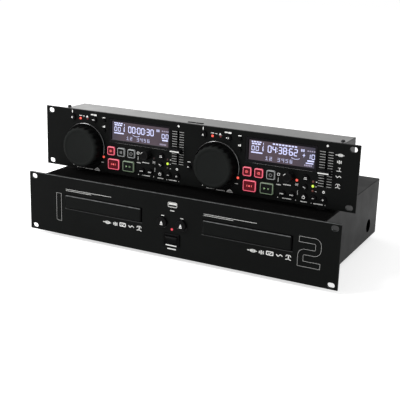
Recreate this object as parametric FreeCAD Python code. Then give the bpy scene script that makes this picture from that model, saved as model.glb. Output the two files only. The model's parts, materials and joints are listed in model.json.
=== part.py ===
"""Dual disc player for club use, in two rack-width units that stand one on the other.

The lower unit holds two disc drives with motor trays, a power supply and the sockets.
The upper unit is the controller: two decks, each with a jog wheel, a display, a speed
slider, a track knob and sixteen keys. It stands on the lower unit on four rubber feet.

Frame: X to the right, Y to the back, Z up, in millimetres. The origin is the middle of
the footprint, on the surface that the lower unit's feet stand on. Each unit is drawn in
a frame of its own, with x = 0 at the middle of its front panel, y = 0 on the panel's
front face and z = 0 at the panel's lower edge, and is moved into place when it is saved.
"""
import FreeCAD
import Part
import math
import os

Vec = FreeCAD.Vector

# ---- the rack standard: two units high, nineteen inches wide ----
PANEL_WIDTH = 482.6
PANEL_HEIGHT = 88.1
PANEL_THICK = 3.0
RACK_HOLE_X = 465.1 / 2
RACK_HOLE_Z = 76.2 / 2
RACK_SLOT_LENGTH = 10.0
RACK_SLOT_WIDTH = 7.0
PANEL_EDGE = 0.5            # bevel round a panel's front edges

# ---- where the two units stand ----
DRIVE_DEPTH = 255.0         # front face of the panel to the rear wall
REAR_PROUD = 7.0            # how far the rear jacks stand out
EJECT_PROUD = 4.0           # how far the eject buttons stand out
DRIVE_X = -2.0
DRIVE_Y = -(DRIVE_DEPTH + REAR_PROUD - EJECT_PROUD) / 2
DRIVE_Z = 5.5               # the lower panel's lower edge above the table
CONTROL_X = 2.0
CONTROL_Y = DRIVE_Y + 39.0  # the upper panel stands this far back
CONTROL_Z = DRIVE_Z + 93.2

SHEET = 1.2                 # folded sheet steel
GAP = 0.3                   # running gap round a piece that moves

# ---- lower unit: casing ----
CASE_HALF = 215.6           # half the casing's width
CASE_LOW = 3.3              # underside of the base plate
CASE_TOP = 87.6
BASE_LIP = 11.0             # height of the folded-up edges of the base plate
SIDE_HOLE_Y, SIDE_HOLE_Z, SIDE_HOLE_R = 214.0, 24.0, 10.0
FOOT_X, FOOT_FRONT, FOOT_BACK = 182.0, 30.0, 226.0
FOOT_R = 10.0
FOOT_HOLLOW_R, FOOT_HOLLOW_DEEP, FOOT_SCREW_HOLE_R = 4.5, 5.0, 1.9

# ---- lower unit: disc trays ----
TRAY_X = 112.5              # tray centre from the middle of the panel
TRAY_OPENING_W, TRAY_OPENING_H = 130.0, 21.0
TRAY_Z = 51.5               # middle of the opening
TRAY_FACE_GAP = 0.9
TRAY_PROUD, TRAY_BEVEL = 1.0, 0.8
TRAY_PLATE_LOW, TRAY_PLATE_TOP = 48.0, 53.0
TRAY_HALF = 64.0
TRAY_BACK = 165.0
TRAY_FACE_THICK = 3.5
DISC_Y = 68.5               # centre of the disc in a closed tray
DISC_R = 60.75              # twelve-centimetre disc and its clearance
SMALL_DISC_R = 40.75
LOADER_FRONT, LOADER_BACK = 8.0, 175.0
LOADER_HALF = 69.0
LOADER_BASE, LOADER_TOP = 24.0, 60.0
PILLAR_X, PILLAR_FRONT, PILLAR_BACK, PILLAR_R = 60.0, 18.0, 165.0, 4.0
PICKUP_ROD_X, PICKUP_ROD_Z, PICKUP_ROD_R = 20.0, 35.0, 1.5
PICKUP_Y = 42.0             # pickup lens behind the disc's centre
HUB_HOLE_R = 17.0           # opening in the tray for the spindle and its clamp

# ---- lower unit: middle of the panel ----
MIDDLE_X = 1.2              # the group stands this far right of the panel's middle
EJECT_X, EJECT_Z, EJECT_R, EJECT_HOLE_R = 15.0, 48.2, 7.5, 8.2
LAMP_Z = 39.8
LAMP_R, LAMP_HOLE_R = 1.5, 1.6
USB_Z, USB_W, USB_H = 74.7, 13.2, 5.8
ROCKER_X, ROCKER_Z = MIDDLE_X, 24.5
ROCKER_FRAME_W, ROCKER_FRAME_H, ROCKER_FRAME_PROUD = 25.0, 17.5, 1.8
ROCKER_BODY_W, ROCKER_BODY_H, ROCKER_BODY_BACK = 21.6, 14.6, 24.0
ROCKER_W, ROCKER_R = 17.8, 6.3
ROCKER_PIVOT_Y = 1.5
ROCKER_TILT = 8.0
ROCKER_HOLLOW_Y, ROCKER_HOLLOW_R = -14.0, 12.0

# ---- lower unit: rear wall and electronics ----
REAR_SCREW_X = (-195.0, -97.5, 0.0, 97.5, 195.0)
REAR_SCREW_Z = CASE_TOP - 7.0
SCREW_HOLE_R = 1.6
COVER_LIP = 13.0            # height of the cover's lip behind the rear wall
RCA_PLACES = [(-150.0, 52.0), (-132.0, 52.0), (-96.0, 52.0), (-78.0, 52.0)]
DIGITAL_PLACES = [(-150.0, 30.0), (-96.0, 30.0)]
LINK_PLACES = [(-30.0, 40.0), (0.0, 40.0)]
RELAY_JACK_PLACES = [(40.0, 40.0), (58.0, 40.0)]
RCA_HOLE_R, LINK_HOLE_R, RELAY_HOLE_R = 4.6, 7.3, 3.4
INLET_X, INLET_Z, INLET_W, INLET_H, INLET_DEEP = 160.0, 34.0, 27.0, 19.5, 16.0
MAIN_BOARD = (-205.0, 120.0, 184.0, 246.0)      # x0, x1, y0, y1
MAIN_BOARD_Z = 14.0
MAIN_CHIPS = [(-170.0, 200.0, 24.0, 24.0, 3.0), (-120.0, 205.0, 18.0, 18.0, 3.0),
              (-60.0, 202.0, 26.0, 20.0, 3.0), (10.0, 200.0, 20.0, 20.0, 3.0),
              (60.0, 210.0, 14.0, 30.0, 8.0), (95.0, 200.0, 12.0, 12.0, 14.0)]
MAIN_CANS_X, MAIN_CANS_Y, MAIN_CAN_R, MAIN_CAN_TOP = (-140.0, -20.0, 40.0), 195.0, 5.0, 29.0
FRONT_BOARD_HALF, FRONT_BOARD_LOW, FRONT_BOARD_TOP = 40.0, 36.0, 84.0
SUPPLY_BOARD = (-38.0, 38.0, 44.0, 172.0)
SUPPLY_BOARD_Z = 12.0
CORE_HALF, CORE_FRONT, CORE_BACK, CORE_TOP = 28.0, 60.0, 100.0, 48.0
WINDING_HALF, WINDING_LOW, WINDING_TOP, WINDING_PROUD = 20.0, 18.0, 44.0, 6.0
SINK_X, SINK_Y, SINK_TOP = (18.0, 23.0, 28.0, 32.4), (120.0, 160.0), 38.0
SUPPLY_CANS = [(-24.0, 126.0), (-24.0, 148.0), (-4.0, 136.0)]
SUPPLY_CAN_R, SUPPLY_CAN_TOP = 8.0, 42.0
POST_R = 3.0

# ---- upper unit: casing ----
BOX_HALF = 216.0
BOX_BACK = 61.0
BOX_LOW, BOX_TOP = 3.0, 85.3
BOARD_Y = 12.0              # front face of the control board
BOARD_THICK = 1.6
SWITCH_Y = 8.8              # front of the small switches on the board
TOP_SLOTS_X, TOP_SLOT_HALF, TOP_SLOT_Y = (-8.8, 3.7), 4.8, (22.0, 24.0)
TOP_SCREW_X, TOP_SCREW_Y = 212.4, 18.0
WASHER_R, WASHER_BORE, WASHER_HIGH = 2.7, 1.5, 1.4
WALL_SCREW_X, WALL_SCREW_Z = 200.0, (12.0, 76.0)
CONTROL_BOARD_HALF, CONTROL_BOARD_LOW, CONTROL_BOARD_TOP = 208.0, 5.0, 83.0
PAD_X, PAD_FRONT, PAD_BACK = 190.0, 14.0, 50.0
PAD_R = 6.0
PAD_HOLLOW_R, PAD_HOLLOW_DEEP = 3.2, 3.5

# ---- one deck of the controller: places from the deck's middle and the panel's lower edge ----
DECK_X = 107.75
JOG_X, JOG_Z = -64.3, 35.2
JOG_RIM_R, JOG_FACE_R, JOG_PROUD = 29.6, 26.0, 16.5
JOG_FLUTES = 20
JOG_BEZEL_IN, JOG_BEZEL_OUT, JOG_BEZEL_PROUD = 30.8, 34.5, 2.0
JOG_BEZEL_LOW = 2.9         # the ring ends here, above the row of marks on the panel
DISPLAY_X, DISPLAY_Z, DISPLAY_W, DISPLAY_H = 27.25, 64.0, 100.5, 34.0
SLIDER_X, SLIDER_SLOT_LOW, SLIDER_SLOT_TOP, SLIDER_SLOT_W = 90.1, 27.5, 77.0, 2.8
SLIDER_REST_Z = 48.4
SLIDER_CAP_W, SLIDER_CAP_H, SLIDER_PROUD = 15.0, 6.8, 10.5
KNOB_X, KNOB_Z, KNOB_R, KNOB_PROUD = 42.0, 36.0, 6.5, 12.0
KNOB_GROOVES = 20
BUTTON_PROUD = 2.2
KEY_PROUD = 2.8
KEY_CORNER = 2.2
ROUND_BUTTONS = {           # name: (x, z, radius)
    "source_button": (-86.0, 76.4, 5.0),
    "folder_button": (-49.0, 75.9, 4.8),
    "time_button": (-31.6, 76.7, 2.6),
    "program_button": (-31.5, 62.4, 2.6),
    "key_lock_button": (64.2, 36.7, 4.6),
    "speed_button": (63.4, 24.4, 3.8),
    "track_back_button": (32.8, 11.3, 4.5),
    "track_forward_button": (46.0, 11.3, 4.5),
    "tap_button": (63.2, 11.4, 4.5),
    "bend_down_button": (76.1, 11.4, 4.5),
    "bend_up_button": (89.6, 11.4, 4.5),
}
LIT_KEYS = {                # name: (x, z, width, height)
    "loop_in_key": (-18.4, 34.1, 12.2, 12.3),
    "loop_out_key": (-1.4, 34.1, 12.2, 12.3),
    "reloop_key": (15.8, 34.1, 12.2, 12.3),
    "cue_key": (-14.1, 14.8, 18.7, 15.2),
    "play_key": (10.9, 14.8, 18.7, 15.2),
}
DECK_LAMPS = [(-72.4, 75.6), (-60.3, 76.3), (-32.3, 22.9), (52.0, 32.0),
              (74.4, 33.2), (74.4, 27.2), (74.4, 20.9)]
RELAY_X, RELAY_Z, RELAY_R = 0.3, 27.8, 4.0
LINK_JACK_X, LINK_JACK_Z = 60.0, 22.0


# ================================ shapes ================================
def block(x0, x1, y0, y1, z0, z1):
    """A box between two corners."""
    return Part.makeBox(x1 - x0, y1 - y0, z1 - z0, Vec(x0, y0, z0))


def rod_x(y, z, radius, x0, x1):
    """A cylinder along X."""
    return Part.makeCylinder(radius, x1 - x0, Vec(x0, y, z), Vec(1, 0, 0))


def rod_y(x, z, radius, y0, y1):
    """A cylinder along Y."""
    return Part.makeCylinder(radius, y1 - y0, Vec(x, y0, z), Vec(0, 1, 0))


def rod_z(x, y, radius, z0, z1):
    """A cylinder along Z."""
    return Part.makeCylinder(radius, z1 - z0, Vec(x, y, z0), Vec(0, 0, 1))


def tablet(x, z, width, height, corner, y0, y1):
    """A rounded rectangle, centred on x and z, drawn out along Y."""
    a, b = width / 2 - corner, height / 2 - corner
    s = corner * math.sqrt(0.5)
    edges = []
    for turn, (cx, cz) in enumerate([(a, b), (-a, b), (-a, -b), (a, -b)]):
        ends = []
        for k in (0, 1, 2):
            angle = math.pi / 2 * turn + math.pi / 4 * k
            ends.append(Vec(x + cx + corner * math.cos(angle), y0, z + cz + corner * math.sin(angle)))
        edges.append(Part.Arc(*ends).toShape())
    lines = []
    for k in range(4):
        start = edges[k].Vertexes[-1].Point
        end = edges[(k + 1) % 4].Vertexes[0].Point
        if start.distanceToPoint(end) > 1e-6:
            lines.append(Part.makeLine(start, end))
    outline = Part.Wire(Part.__sortEdges__(edges + lines))
    return Part.Face(outline).extrude(Vec(0, y1 - y0, 0))


def turned(profile, x, z):
    """A solid of revolution about a line along Y: profile is a list of (radius, y)."""
    points = [Vec(x + r, y, z) for r, y in profile]
    outline = Part.makePolygon(points + points[:1])
    return Part.Face(outline).revolve(Vec(x, 0, z), Vec(0, 1, 0), 360)


def front_edges(shape, y, keep=None):
    """The edges that lie in the plane y, or those of them whose middle passes keep."""
    found = []
    for edge in shape.Edges:
        box = edge.BoundBox
        if abs(box.YMin - y) < 1e-4 and abs(box.YMax - y) < 1e-4:
            if keep is None or keep(box.Center):
                found.append(edge)
    return found


def rounded_front(shape, radius, y):
    """The shape with its front edges, in the plane y, rounded."""
    return shape.makeFillet(radius, front_edges(shape, y))


def screw(place, axis, head_r, head_high, shank):
    """A pan-head screw: its head stands on the plane at place and its shank goes along axis."""
    head = Part.makeCylinder(head_r, head_high, place - axis * head_high, axis)
    outer_edge = min(head.Edges, key=lambda edge: edge.CenterOfMass.dot(axis))
    head = head.makeFillet(head_high * 0.45, [outer_edge])
    return head.fuse(Part.makeCylinder(head_r * 0.45, shank, place, axis)).removeSplitter()


def save(name, pieces, place):
    """Write one sub-part, a list of separate solids, moved to its unit's place."""
    solids = []
    for piece in pieces:
        for solid in piece.Solids:
            copy = solid.copy()
            copy.translate(place)
            if not copy.isValid():
                raise ValueError("not a valid solid: " + name)
            solids.append(copy)
    shape = solids[0] if len(solids) == 1 else Part.makeCompound(solids)
    shape.exportStep("parts/" + name + ".step")


# ============================ rack panels ============================
def rack_plate():
    """A bevelled front plate with four slots for rack screws."""
    half = PANEL_WIDTH / 2
    plate = block(-half, half, 0, PANEL_THICK, 0, PANEL_HEIGHT)
    plate = plate.makeChamfer(PANEL_EDGE, front_edges(plate, 0))
    slots = []
    for x in (-RACK_HOLE_X, RACK_HOLE_X):
        for z in (-RACK_HOLE_Z, RACK_HOLE_Z):
            slots.append(tablet(x, PANEL_HEIGHT / 2 + z, RACK_SLOT_LENGTH, RACK_SLOT_WIDTH,
                                RACK_SLOT_WIDTH / 2, -1, PANEL_THICK + 1))
    return plate.cut(slots)


def drive_front_panel():
    """Lower front panel, cut for two trays, two eject buttons, lamp, USB socket and switch."""
    cuts = [rod_y(MIDDLE_X, LAMP_Z, LAMP_HOLE_R, -1, 4),
            tablet(MIDDLE_X, USB_Z, USB_W + 0.4, USB_H + 0.4, 0.8, -1, 4),
            tablet(ROCKER_X, ROCKER_Z, ROCKER_BODY_W + 0.4, ROCKER_BODY_H + 0.4, 0.8, -1, 4)]
    for side in (-1, 1):
        cuts.append(rod_y(MIDDLE_X + side * EJECT_X, EJECT_Z, EJECT_HOLE_R, -1, 4))
        cuts.append(tablet(side * TRAY_X, TRAY_Z, TRAY_OPENING_W, TRAY_OPENING_H, 0.8, -1, 4))
    panel = rack_plate().cut(cuts)

    def round_a_tray(point):
        return abs(abs(point.x) - TRAY_X) < TRAY_OPENING_W / 2 + 1 and abs(point.z - TRAY_Z) < 12
    return [panel.makeChamfer(0.5, front_edges(panel, 0, round_a_tray))]


# ============================ lower unit: casing ============================
def drive_chassis():
    """Base plate with folded edges and rear wall, cut for the sockets, and eight loader pillars."""
    inner = CASE_HALF - SHEET - 0.2
    rear = DRIVE_DEPTH - SHEET
    base = block(-inner, inner, PANEL_THICK, DRIVE_DEPTH, CASE_LOW, CASE_LOW + SHEET)
    walls = [block(-inner, inner, rear, DRIVE_DEPTH, CASE_LOW, CASE_TOP - SHEET - 0.2),
             block(-inner, inner, PANEL_THICK, PANEL_THICK + SHEET, CASE_LOW, CASE_LOW + BASE_LIP)]
    for side in (-1, 1):
        x0, x1 = sorted((side * inner, side * (inner - SHEET)))
        walls.append(block(x0, x1, PANEL_THICK, DRIVE_DEPTH, CASE_LOW, CASE_LOW + BASE_LIP))
    chassis = base.fuse(walls).removeSplitter()
    cuts = [tablet(INLET_X, INLET_Z, INLET_W + 0.6, INLET_H + 0.6, 2.0, rear - 1, DRIVE_DEPTH + 1)]
    holes = [(x, z, RCA_HOLE_R) for x, z in RCA_PLACES + DIGITAL_PLACES]
    holes += [(x, z, LINK_HOLE_R) for x, z in LINK_PLACES]
    holes += [(x, z, RELAY_HOLE_R) for x, z in RELAY_JACK_PLACES]
    holes += [(x, REAR_SCREW_Z, SCREW_HOLE_R) for x in REAR_SCREW_X]
    cuts += [rod_y(x, z, radius, rear - 1, DRIVE_DEPTH + 1) for x, z, radius in holes]
    for x in (-FOOT_X, FOOT_X):
        for y in (FOOT_FRONT, FOOT_BACK):
            cuts.append(rod_z(x, y, FOOT_SCREW_HOLE_R, 0, 20))
    pillars = []
    for side in (-1, 1):
        for x in (-PILLAR_X, PILLAR_X):
            for y in (PILLAR_FRONT, PILLAR_BACK):
                pillars.append(rod_z(side * TRAY_X + x, y, PILLAR_R, CASE_LOW + SHEET, LOADER_BASE))
    return [chassis.cut(cuts)] + pillars


def drive_top_cover():
    """Folded cover: top, both side walls and a lip behind the top of the rear wall."""
    top = block(-CASE_HALF, CASE_HALF, PANEL_THICK, DRIVE_DEPTH, CASE_TOP - SHEET, CASE_TOP)
    lip_y = DRIVE_DEPTH - 2 * SHEET - 0.2
    parts = [block(-CASE_HALF + 5, CASE_HALF - 5, lip_y, lip_y + SHEET, CASE_TOP - COVER_LIP, CASE_TOP)]
    for side in (-1, 1):
        x0, x1 = sorted((side * CASE_HALF, side * (CASE_HALF - SHEET)))
        parts.append(block(x0, x1, PANEL_THICK, DRIVE_DEPTH, CASE_LOW, CASE_TOP))
    cover = top.fuse(parts).removeSplitter()
    cuts = [rod_x(SIDE_HOLE_Y, SIDE_HOLE_Z, SIDE_HOLE_R, CASE_HALF - 5, CASE_HALF + 5)]
    cuts += [rod_y(x, REAR_SCREW_Z, SCREW_HOLE_R, lip_y - 1, lip_y + 3) for x in REAR_SCREW_X]
    cover = cover.cut(cuts)
    long_edges = []
    for edge in cover.Edges:
        box = edge.BoundBox
        on_corner = abs(abs(box.Center.x) - CASE_HALF) < 1e-4 and abs(box.Center.z - CASE_TOP) < 1e-4
        if on_corner and box.YLength > 200:
            long_edges.append(edge)
    return [cover.makeFillet(1.0, long_edges)]


def drive_feet():
    """Four rubber feet with a hollow for the screw head."""
    feet = []
    for x in (-FOOT_X, FOOT_X):
        for y in (FOOT_FRONT, FOOT_BACK):
            foot = Part.makeCone(FOOT_R - 1.5, FOOT_R, CASE_LOW + DRIVE_Z, Vec(x, y, -DRIVE_Z))
            hollow = rod_z(x, y, FOOT_HOLLOW_R, -DRIVE_Z - 1, -DRIVE_Z + FOOT_HOLLOW_DEEP)
            hole = rod_z(x, y, FOOT_SCREW_HOLE_R, -DRIVE_Z - 1, CASE_LOW + 1)
            feet.append(foot.cut([hollow, hole]))
    return feet


def drive_screws():
    """Foot screws and the five screws of the rear wall."""
    screws = []
    for x in (-FOOT_X, FOOT_X):
        for y in (FOOT_FRONT, FOOT_BACK):
            screws.append(screw(Vec(x, y, -DRIVE_Z + FOOT_HOLLOW_DEEP), Vec(0, 0, 1), 3.4, 2.2, 9.0))
    for x in REAR_SCREW_X:
        screws.append(screw(Vec(x, DRIVE_DEPTH, REAR_SCREW_Z), Vec(0, -1, 0), 3.0, 1.8, 6.0))
    return screws


# ============================ lower unit: disc drives ============================
def loader(x):
    """One disc drive: base, two guide rails, clamp bridge, spindle, pickup on rods and motor."""
    floor = LOADER_BASE + 2
    base = block(x - LOADER_HALF, x + LOADER_HALF, LOADER_FRONT, LOADER_BACK, LOADER_BASE, floor)
    rails = []
    for side in (-1, 1):
        inner = TRAY_HALF + 0.6
        x0, x1 = sorted((x + side * inner, x + side * LOADER_HALF))
        rails.append(block(x0, x1, LOADER_FRONT, LOADER_BACK, floor, LOADER_TOP))
        for low, high in ((TRAY_PLATE_LOW - 2.6, TRAY_PLATE_LOW - 0.6),
                          (TRAY_PLATE_TOP + 0.6, TRAY_PLATE_TOP + 2.6)):
            x0, x1 = sorted((x + side * inner, x + side * (inner - 2.4)))
            rails.append(block(x0, x1, LOADER_FRONT, LOADER_BACK, low, high))
    bridge = block(x - LOADER_HALF, x + LOADER_HALF, DISC_Y - 16, DISC_Y + 16, LOADER_TOP, LOADER_TOP + 2)
    clamp = rod_z(x, DISC_Y, 15.0, LOADER_TOP - 3.5, LOADER_TOP)
    frame = base.fuse(rails + [bridge, clamp]).removeSplitter()
    motor_top, table_low, table_top = 38.0, 41.0, 43.0
    spindle = rod_z(x, DISC_Y, 11.0, floor, motor_top)
    spindle = spindle.fuse([rod_z(x, DISC_Y, 2.0, motor_top, table_low),
                            rod_z(x, DISC_Y, 14.0, table_low, table_top),
                            rod_z(x, DISC_Y, 7.4, table_top, table_top + 1.6)])
    rods = []
    posts = []
    rod_start, rod_end = DISC_Y + 20, DISC_Y + 78
    for side in (-1, 1):
        line_x = x + side * PICKUP_ROD_X
        rods.append(rod_y(line_x, PICKUP_ROD_Z, PICKUP_ROD_R, rod_start, rod_end))
        for y in (rod_start - 4, rod_end):
            posts.append(block(line_x - 4, line_x + 4, y, y + 4, floor, PICKUP_ROD_Z + 4))
    sled_front, sled_back, sled_top = DISC_Y + PICKUP_Y - 10, DISC_Y + PICKUP_Y + 10, 40.0
    sled = block(x - 26, x + 26, sled_front, sled_back, sled_top - 9, sled_top)
    sled = sled.cut([rod_y(x + side * PICKUP_ROD_X, PICKUP_ROD_Z, PICKUP_ROD_R, sled_front - 1,
                           sled_back + 1) for side in (-1, 1)])
    lens = rod_z(x, DISC_Y + PICKUP_Y, 4.0, sled_top, sled_top + 2.5)
    motor = rod_z(x - 48, 30.0, 11.0, floor, sled_top)
    return [frame, spindle.removeSplitter(), sled, lens, motor] + rods + posts


def disc_tray(x):
    """Sliding tray: a plate with two disc recesses and a slot for the spindle, and its face."""
    plate = block(x - TRAY_HALF, x + TRAY_HALF, TRAY_FACE_THICK - 0.5, TRAY_BACK,
                  TRAY_PLATE_LOW, TRAY_PLATE_TOP)
    face_w = TRAY_OPENING_W - 2 * TRAY_FACE_GAP
    face_h = TRAY_OPENING_H - 2 * TRAY_FACE_GAP
    face = tablet(x, TRAY_Z, face_w, face_h, 1.2, -TRAY_PROUD, TRAY_FACE_THICK)
    face = face.makeChamfer(TRAY_BEVEL, front_edges(face, -TRAY_PROUD))
    tray = face.fuse([plate, tablet(x, TRAY_Z, face_w - 6, face_h - 6, 0.6, 3.4, 6.0)])
    wide = rod_z(x, DISC_Y, DISC_R, TRAY_PLATE_TOP - 2.0, TRAY_PLATE_TOP + 5)
    small = rod_z(x, DISC_Y, SMALL_DISC_R, TRAY_PLATE_TOP - 3.4, TRAY_PLATE_TOP)
    middle = rod_z(x, DISC_Y, HUB_HOLE_R, TRAY_PLATE_LOW - 1, TRAY_PLATE_TOP)
    slot = block(x - HUB_HOLE_R, x + HUB_HOLE_R, DISC_Y, DISC_Y + PICKUP_Y + 10,
                 TRAY_PLATE_LOW - 1, TRAY_PLATE_TOP)
    return [tray.cut([wide, small, middle, slot]).removeSplitter()]


# ============================ lower unit: electronics ============================
def main_board():
    """Rear circuit board with chips and link jacks, and the small board behind the panel."""
    x0, x1, y0, y1 = MAIN_BOARD
    face = MAIN_BOARD_Z + BOARD_THICK
    parts = [block(x0, x1, y0, y1, MAIN_BOARD_Z, face)]
    for x, y, wide, deep, high in MAIN_CHIPS:
        parts.append(block(x, x + wide, y, y + deep, face, face + high))
    parts += [rod_z(x, MAIN_CANS_Y, MAIN_CAN_R, face, MAIN_CAN_TOP) for x in MAIN_CANS_X]
    parts.append(block(-FRONT_BOARD_HALF, FRONT_BOARD_HALF, BOARD_Y, BOARD_Y + BOARD_THICK,
                       FRONT_BOARD_LOW, FRONT_BOARD_TOP))
    for side in (-1, 1):
        x = MIDDLE_X + side * EJECT_X
        parts.append(block(x - 3, x + 3, SWITCH_Y + 0.4, BOARD_Y, EJECT_Z - 3, EJECT_Z + 3))
    parts.append(rod_y(MIDDLE_X, LAMP_Z, LAMP_R, 1.0, BOARD_Y))
    for x in (x0 + 5, x1 - 5):
        for y in (y0 + 6, y1 - 6):
            parts.append(rod_z(x, y, POST_R, CASE_LOW + SHEET, MAIN_BOARD_Z))
    parts += [link_jack(x, z, DRIVE_DEPTH) for x, z in LINK_PLACES]
    return parts


def power_supply():
    """Power supply board with transformer, capacitors and a finned heat sink."""
    x0, x1, y0, y1 = SUPPLY_BOARD
    face = SUPPLY_BOARD_Z + BOARD_THICK
    board = block(x0, x1, y0, y1, SUPPLY_BOARD_Z, face)
    core = block(-CORE_HALF, CORE_HALF, CORE_FRONT, CORE_BACK, face, CORE_TOP)
    windings = []
    for y in (CORE_FRONT - WINDING_PROUD, CORE_BACK):
        windings.append(block(-WINDING_HALF, WINDING_HALF, y, y + WINDING_PROUD, WINDING_LOW, WINDING_TOP))
    sink_base = block(SINK_X[0], SINK_X[-1] + 1.6, SINK_Y[0], SINK_Y[1], face, face + 2.4)
    fins = [block(x, x + 1.6, SINK_Y[0], SINK_Y[1], face + 2.4, SINK_TOP) for x in SINK_X]
    sink = sink_base.fuse(fins).removeSplitter()
    cans = [rod_z(x, y, SUPPLY_CAN_R, face, SUPPLY_CAN_TOP) for x, y in SUPPLY_CANS]
    posts = []
    for x in (x0 + 4, x1 - 4):
        for y in (y0 + 4, y1 - 4):
            posts.append(rod_z(x, y, POST_R, CASE_LOW + SHEET, SUPPLY_BOARD_Z))
    return [board, core, sink] + windings + cans + posts


def sockets():
    """Fittings of the panel and rear wall: USB socket, switch body, jacks and mains inlet."""
    shell = tablet(MIDDLE_X, USB_Z, USB_W, USB_H, 0.5, 0.4, BOARD_Y)
    wall = 0.4
    usb = shell.cut(block(MIDDLE_X - USB_W / 2 + wall, MIDDLE_X + USB_W / 2 - wall, 0, BOARD_Y - 0.8,
                          USB_Z - USB_H / 2 + wall, USB_Z + USB_H / 2 - wall))
    front = -ROCKER_FRAME_PROUD
    frame = tablet(ROCKER_X, ROCKER_Z, ROCKER_FRAME_W, ROCKER_FRAME_H, 1.0, front, 0.0)
    frame = frame.makeChamfer(0.5, front_edges(frame, front))
    body = tablet(ROCKER_X, ROCKER_Z, ROCKER_BODY_W, ROCKER_BODY_H, 0.6, -0.5, ROCKER_BODY_BACK)
    reach = ROCKER_R + GAP
    cavity = block(ROCKER_X - ROCKER_W / 2 - GAP, ROCKER_X + ROCKER_W / 2 + GAP, front - 3,
                   ROCKER_PIVOT_Y + reach, ROCKER_Z - reach, ROCKER_Z + reach)
    tabs = []
    for x in (ROCKER_X - 6.0, ROCKER_X + 5.2):
        tabs.append(block(x, x + 0.8, ROCKER_BODY_BACK, ROCKER_BODY_BACK + 6, ROCKER_Z - 3, ROCKER_Z + 3))
    switch = frame.fuse([body] + tabs).cut(cavity).removeSplitter()
    pieces = [usb, switch]
    pieces += [rca_jack(x, z) for x, z in RCA_PLACES + DIGITAL_PLACES]
    pieces += [relay_jack(x, z) for x, z in RELAY_JACK_PLACES]
    return pieces + mains_inlet(DRIVE_DEPTH)


def rca_jack(x, z):
    """Phono jack: a barrel with a flange on each side of the rear wall and a bore for the pin."""
    rear = DRIVE_DEPTH
    jack = rod_y(x, z, 4.15, rear - 10.0, rear + REAR_PROUD)
    jack = jack.fuse([rod_y(x, z, 6.0, rear, rear + 1.5), rod_y(x, z, 6.0, rear - 6, rear - 1.4)])
    return jack.cut(rod_y(x, z, 1.7, rear - 6.0, rear + REAR_PROUD + 1)).removeSplitter()


def relay_jack(x, z):
    """Small jack: a collar outside the rear wall and a square body behind it."""
    rear = DRIVE_DEPTH
    jack = rod_y(x, z, 3.2, rear - 11.0, rear + 2.5)
    body = block(x - 4, x + 4, rear - 12, rear - 1.4, z - 4.5, z + 4.5)
    jack = jack.fuse([rod_y(x, z, 4.5, rear, rear + 1.6), body])
    return jack.cut(rod_y(x, z, 1.8, rear - 10.0, rear + 3)).removeSplitter()


def link_jack(x, z, rear):
    """Round control-link jack: a collar, a shield groove and eight contact holes."""
    body = rod_y(x, z, 7.0, rear - 9.0, rear + 1.2).fuse(rod_y(x, z, 8.2, rear, rear + 1.2))
    groove = rod_y(x, z, 5.2, rear - 5.0, rear + 2).cut(rod_y(x, z, 4.3, rear - 5.0, rear + 2))
    holes = []
    for row, count in ((1.9, 3), (0.0, 3), (-1.9, 2)):
        for k in range(count):
            holes.append(rod_y(x + 1.9 * (k - (count - 1) / 2), z + row, 0.45, rear - 4.0, rear + 2))
    return body.removeSplitter().cut([groove] + holes)


def mains_inlet(rear):
    """Three-pin appliance inlet: a flanged cup with three flat pins."""
    cup = tablet(INLET_X, INLET_Z, INLET_W, INLET_H, 2.0, rear - INLET_DEEP - 2, rear + 1.0)
    flange = tablet(INLET_X, INLET_Z, INLET_W + 6, INLET_H + 6, 3.0, rear, rear + 1.8)
    mouth = tablet(INLET_X, INLET_Z, INLET_W - 2.8, INLET_H - 2.8, 2.0, rear - INLET_DEEP, rear + 3)
    shell = cup.fuse(flange).removeSplitter().cut(mouth)
    pins = []
    for dx, dz in ((-7.0, -2.0), (7.0, -2.0), (0.0, 3.0)):
        pins.append(block(INLET_X + dx - 1, INLET_X + dx + 1, rear - INLET_DEEP, rear - 6.0,
                          INLET_Z + dz - 2, INLET_Z + dz + 2))
    return [shell.fuse(pins).removeSplitter()]


def eject_button(side):
    """Round eject button with a retaining flange and a stem to its switch."""
    x = MIDDLE_X + side * EJECT_X
    cap = rounded_front(rod_y(x, EJECT_Z, EJECT_R, -EJECT_PROUD, PANEL_THICK + 1.0), 0.8, -EJECT_PROUD)
    flange = rod_y(x, EJECT_Z, EJECT_R + 1.6, PANEL_THICK + GAP, PANEL_THICK + 1.5)
    stem = rod_y(x, EJECT_Z, 2.0, PANEL_THICK, SWITCH_Y - 1.4)
    return [cap.fuse([flange, stem]).removeSplitter()]


def power_rocker():
    """Rocker of the power switch: a barrel about its pivot with a hollowed front face."""
    barrel = rod_x(ROCKER_PIVOT_Y, ROCKER_Z, ROCKER_R, ROCKER_X - ROCKER_W / 2, ROCKER_X + ROCKER_W / 2)
    hollow = rod_x(ROCKER_HOLLOW_Y, ROCKER_Z, ROCKER_HOLLOW_R, ROCKER_X - ROCKER_W, ROCKER_X + ROCKER_W)
    rocker = barrel.cut(hollow)
    rocker.rotate(Vec(ROCKER_X, ROCKER_PIVOT_Y, ROCKER_Z), Vec(1, 0, 0), ROCKER_TILT)
    return [rocker]


# ============================ upper unit: casing ============================
def deck_centres():
    """Middles of deck 1 on the left and deck 2 on the right."""
    return {1: -DECK_X, 2: DECK_X}


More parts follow.
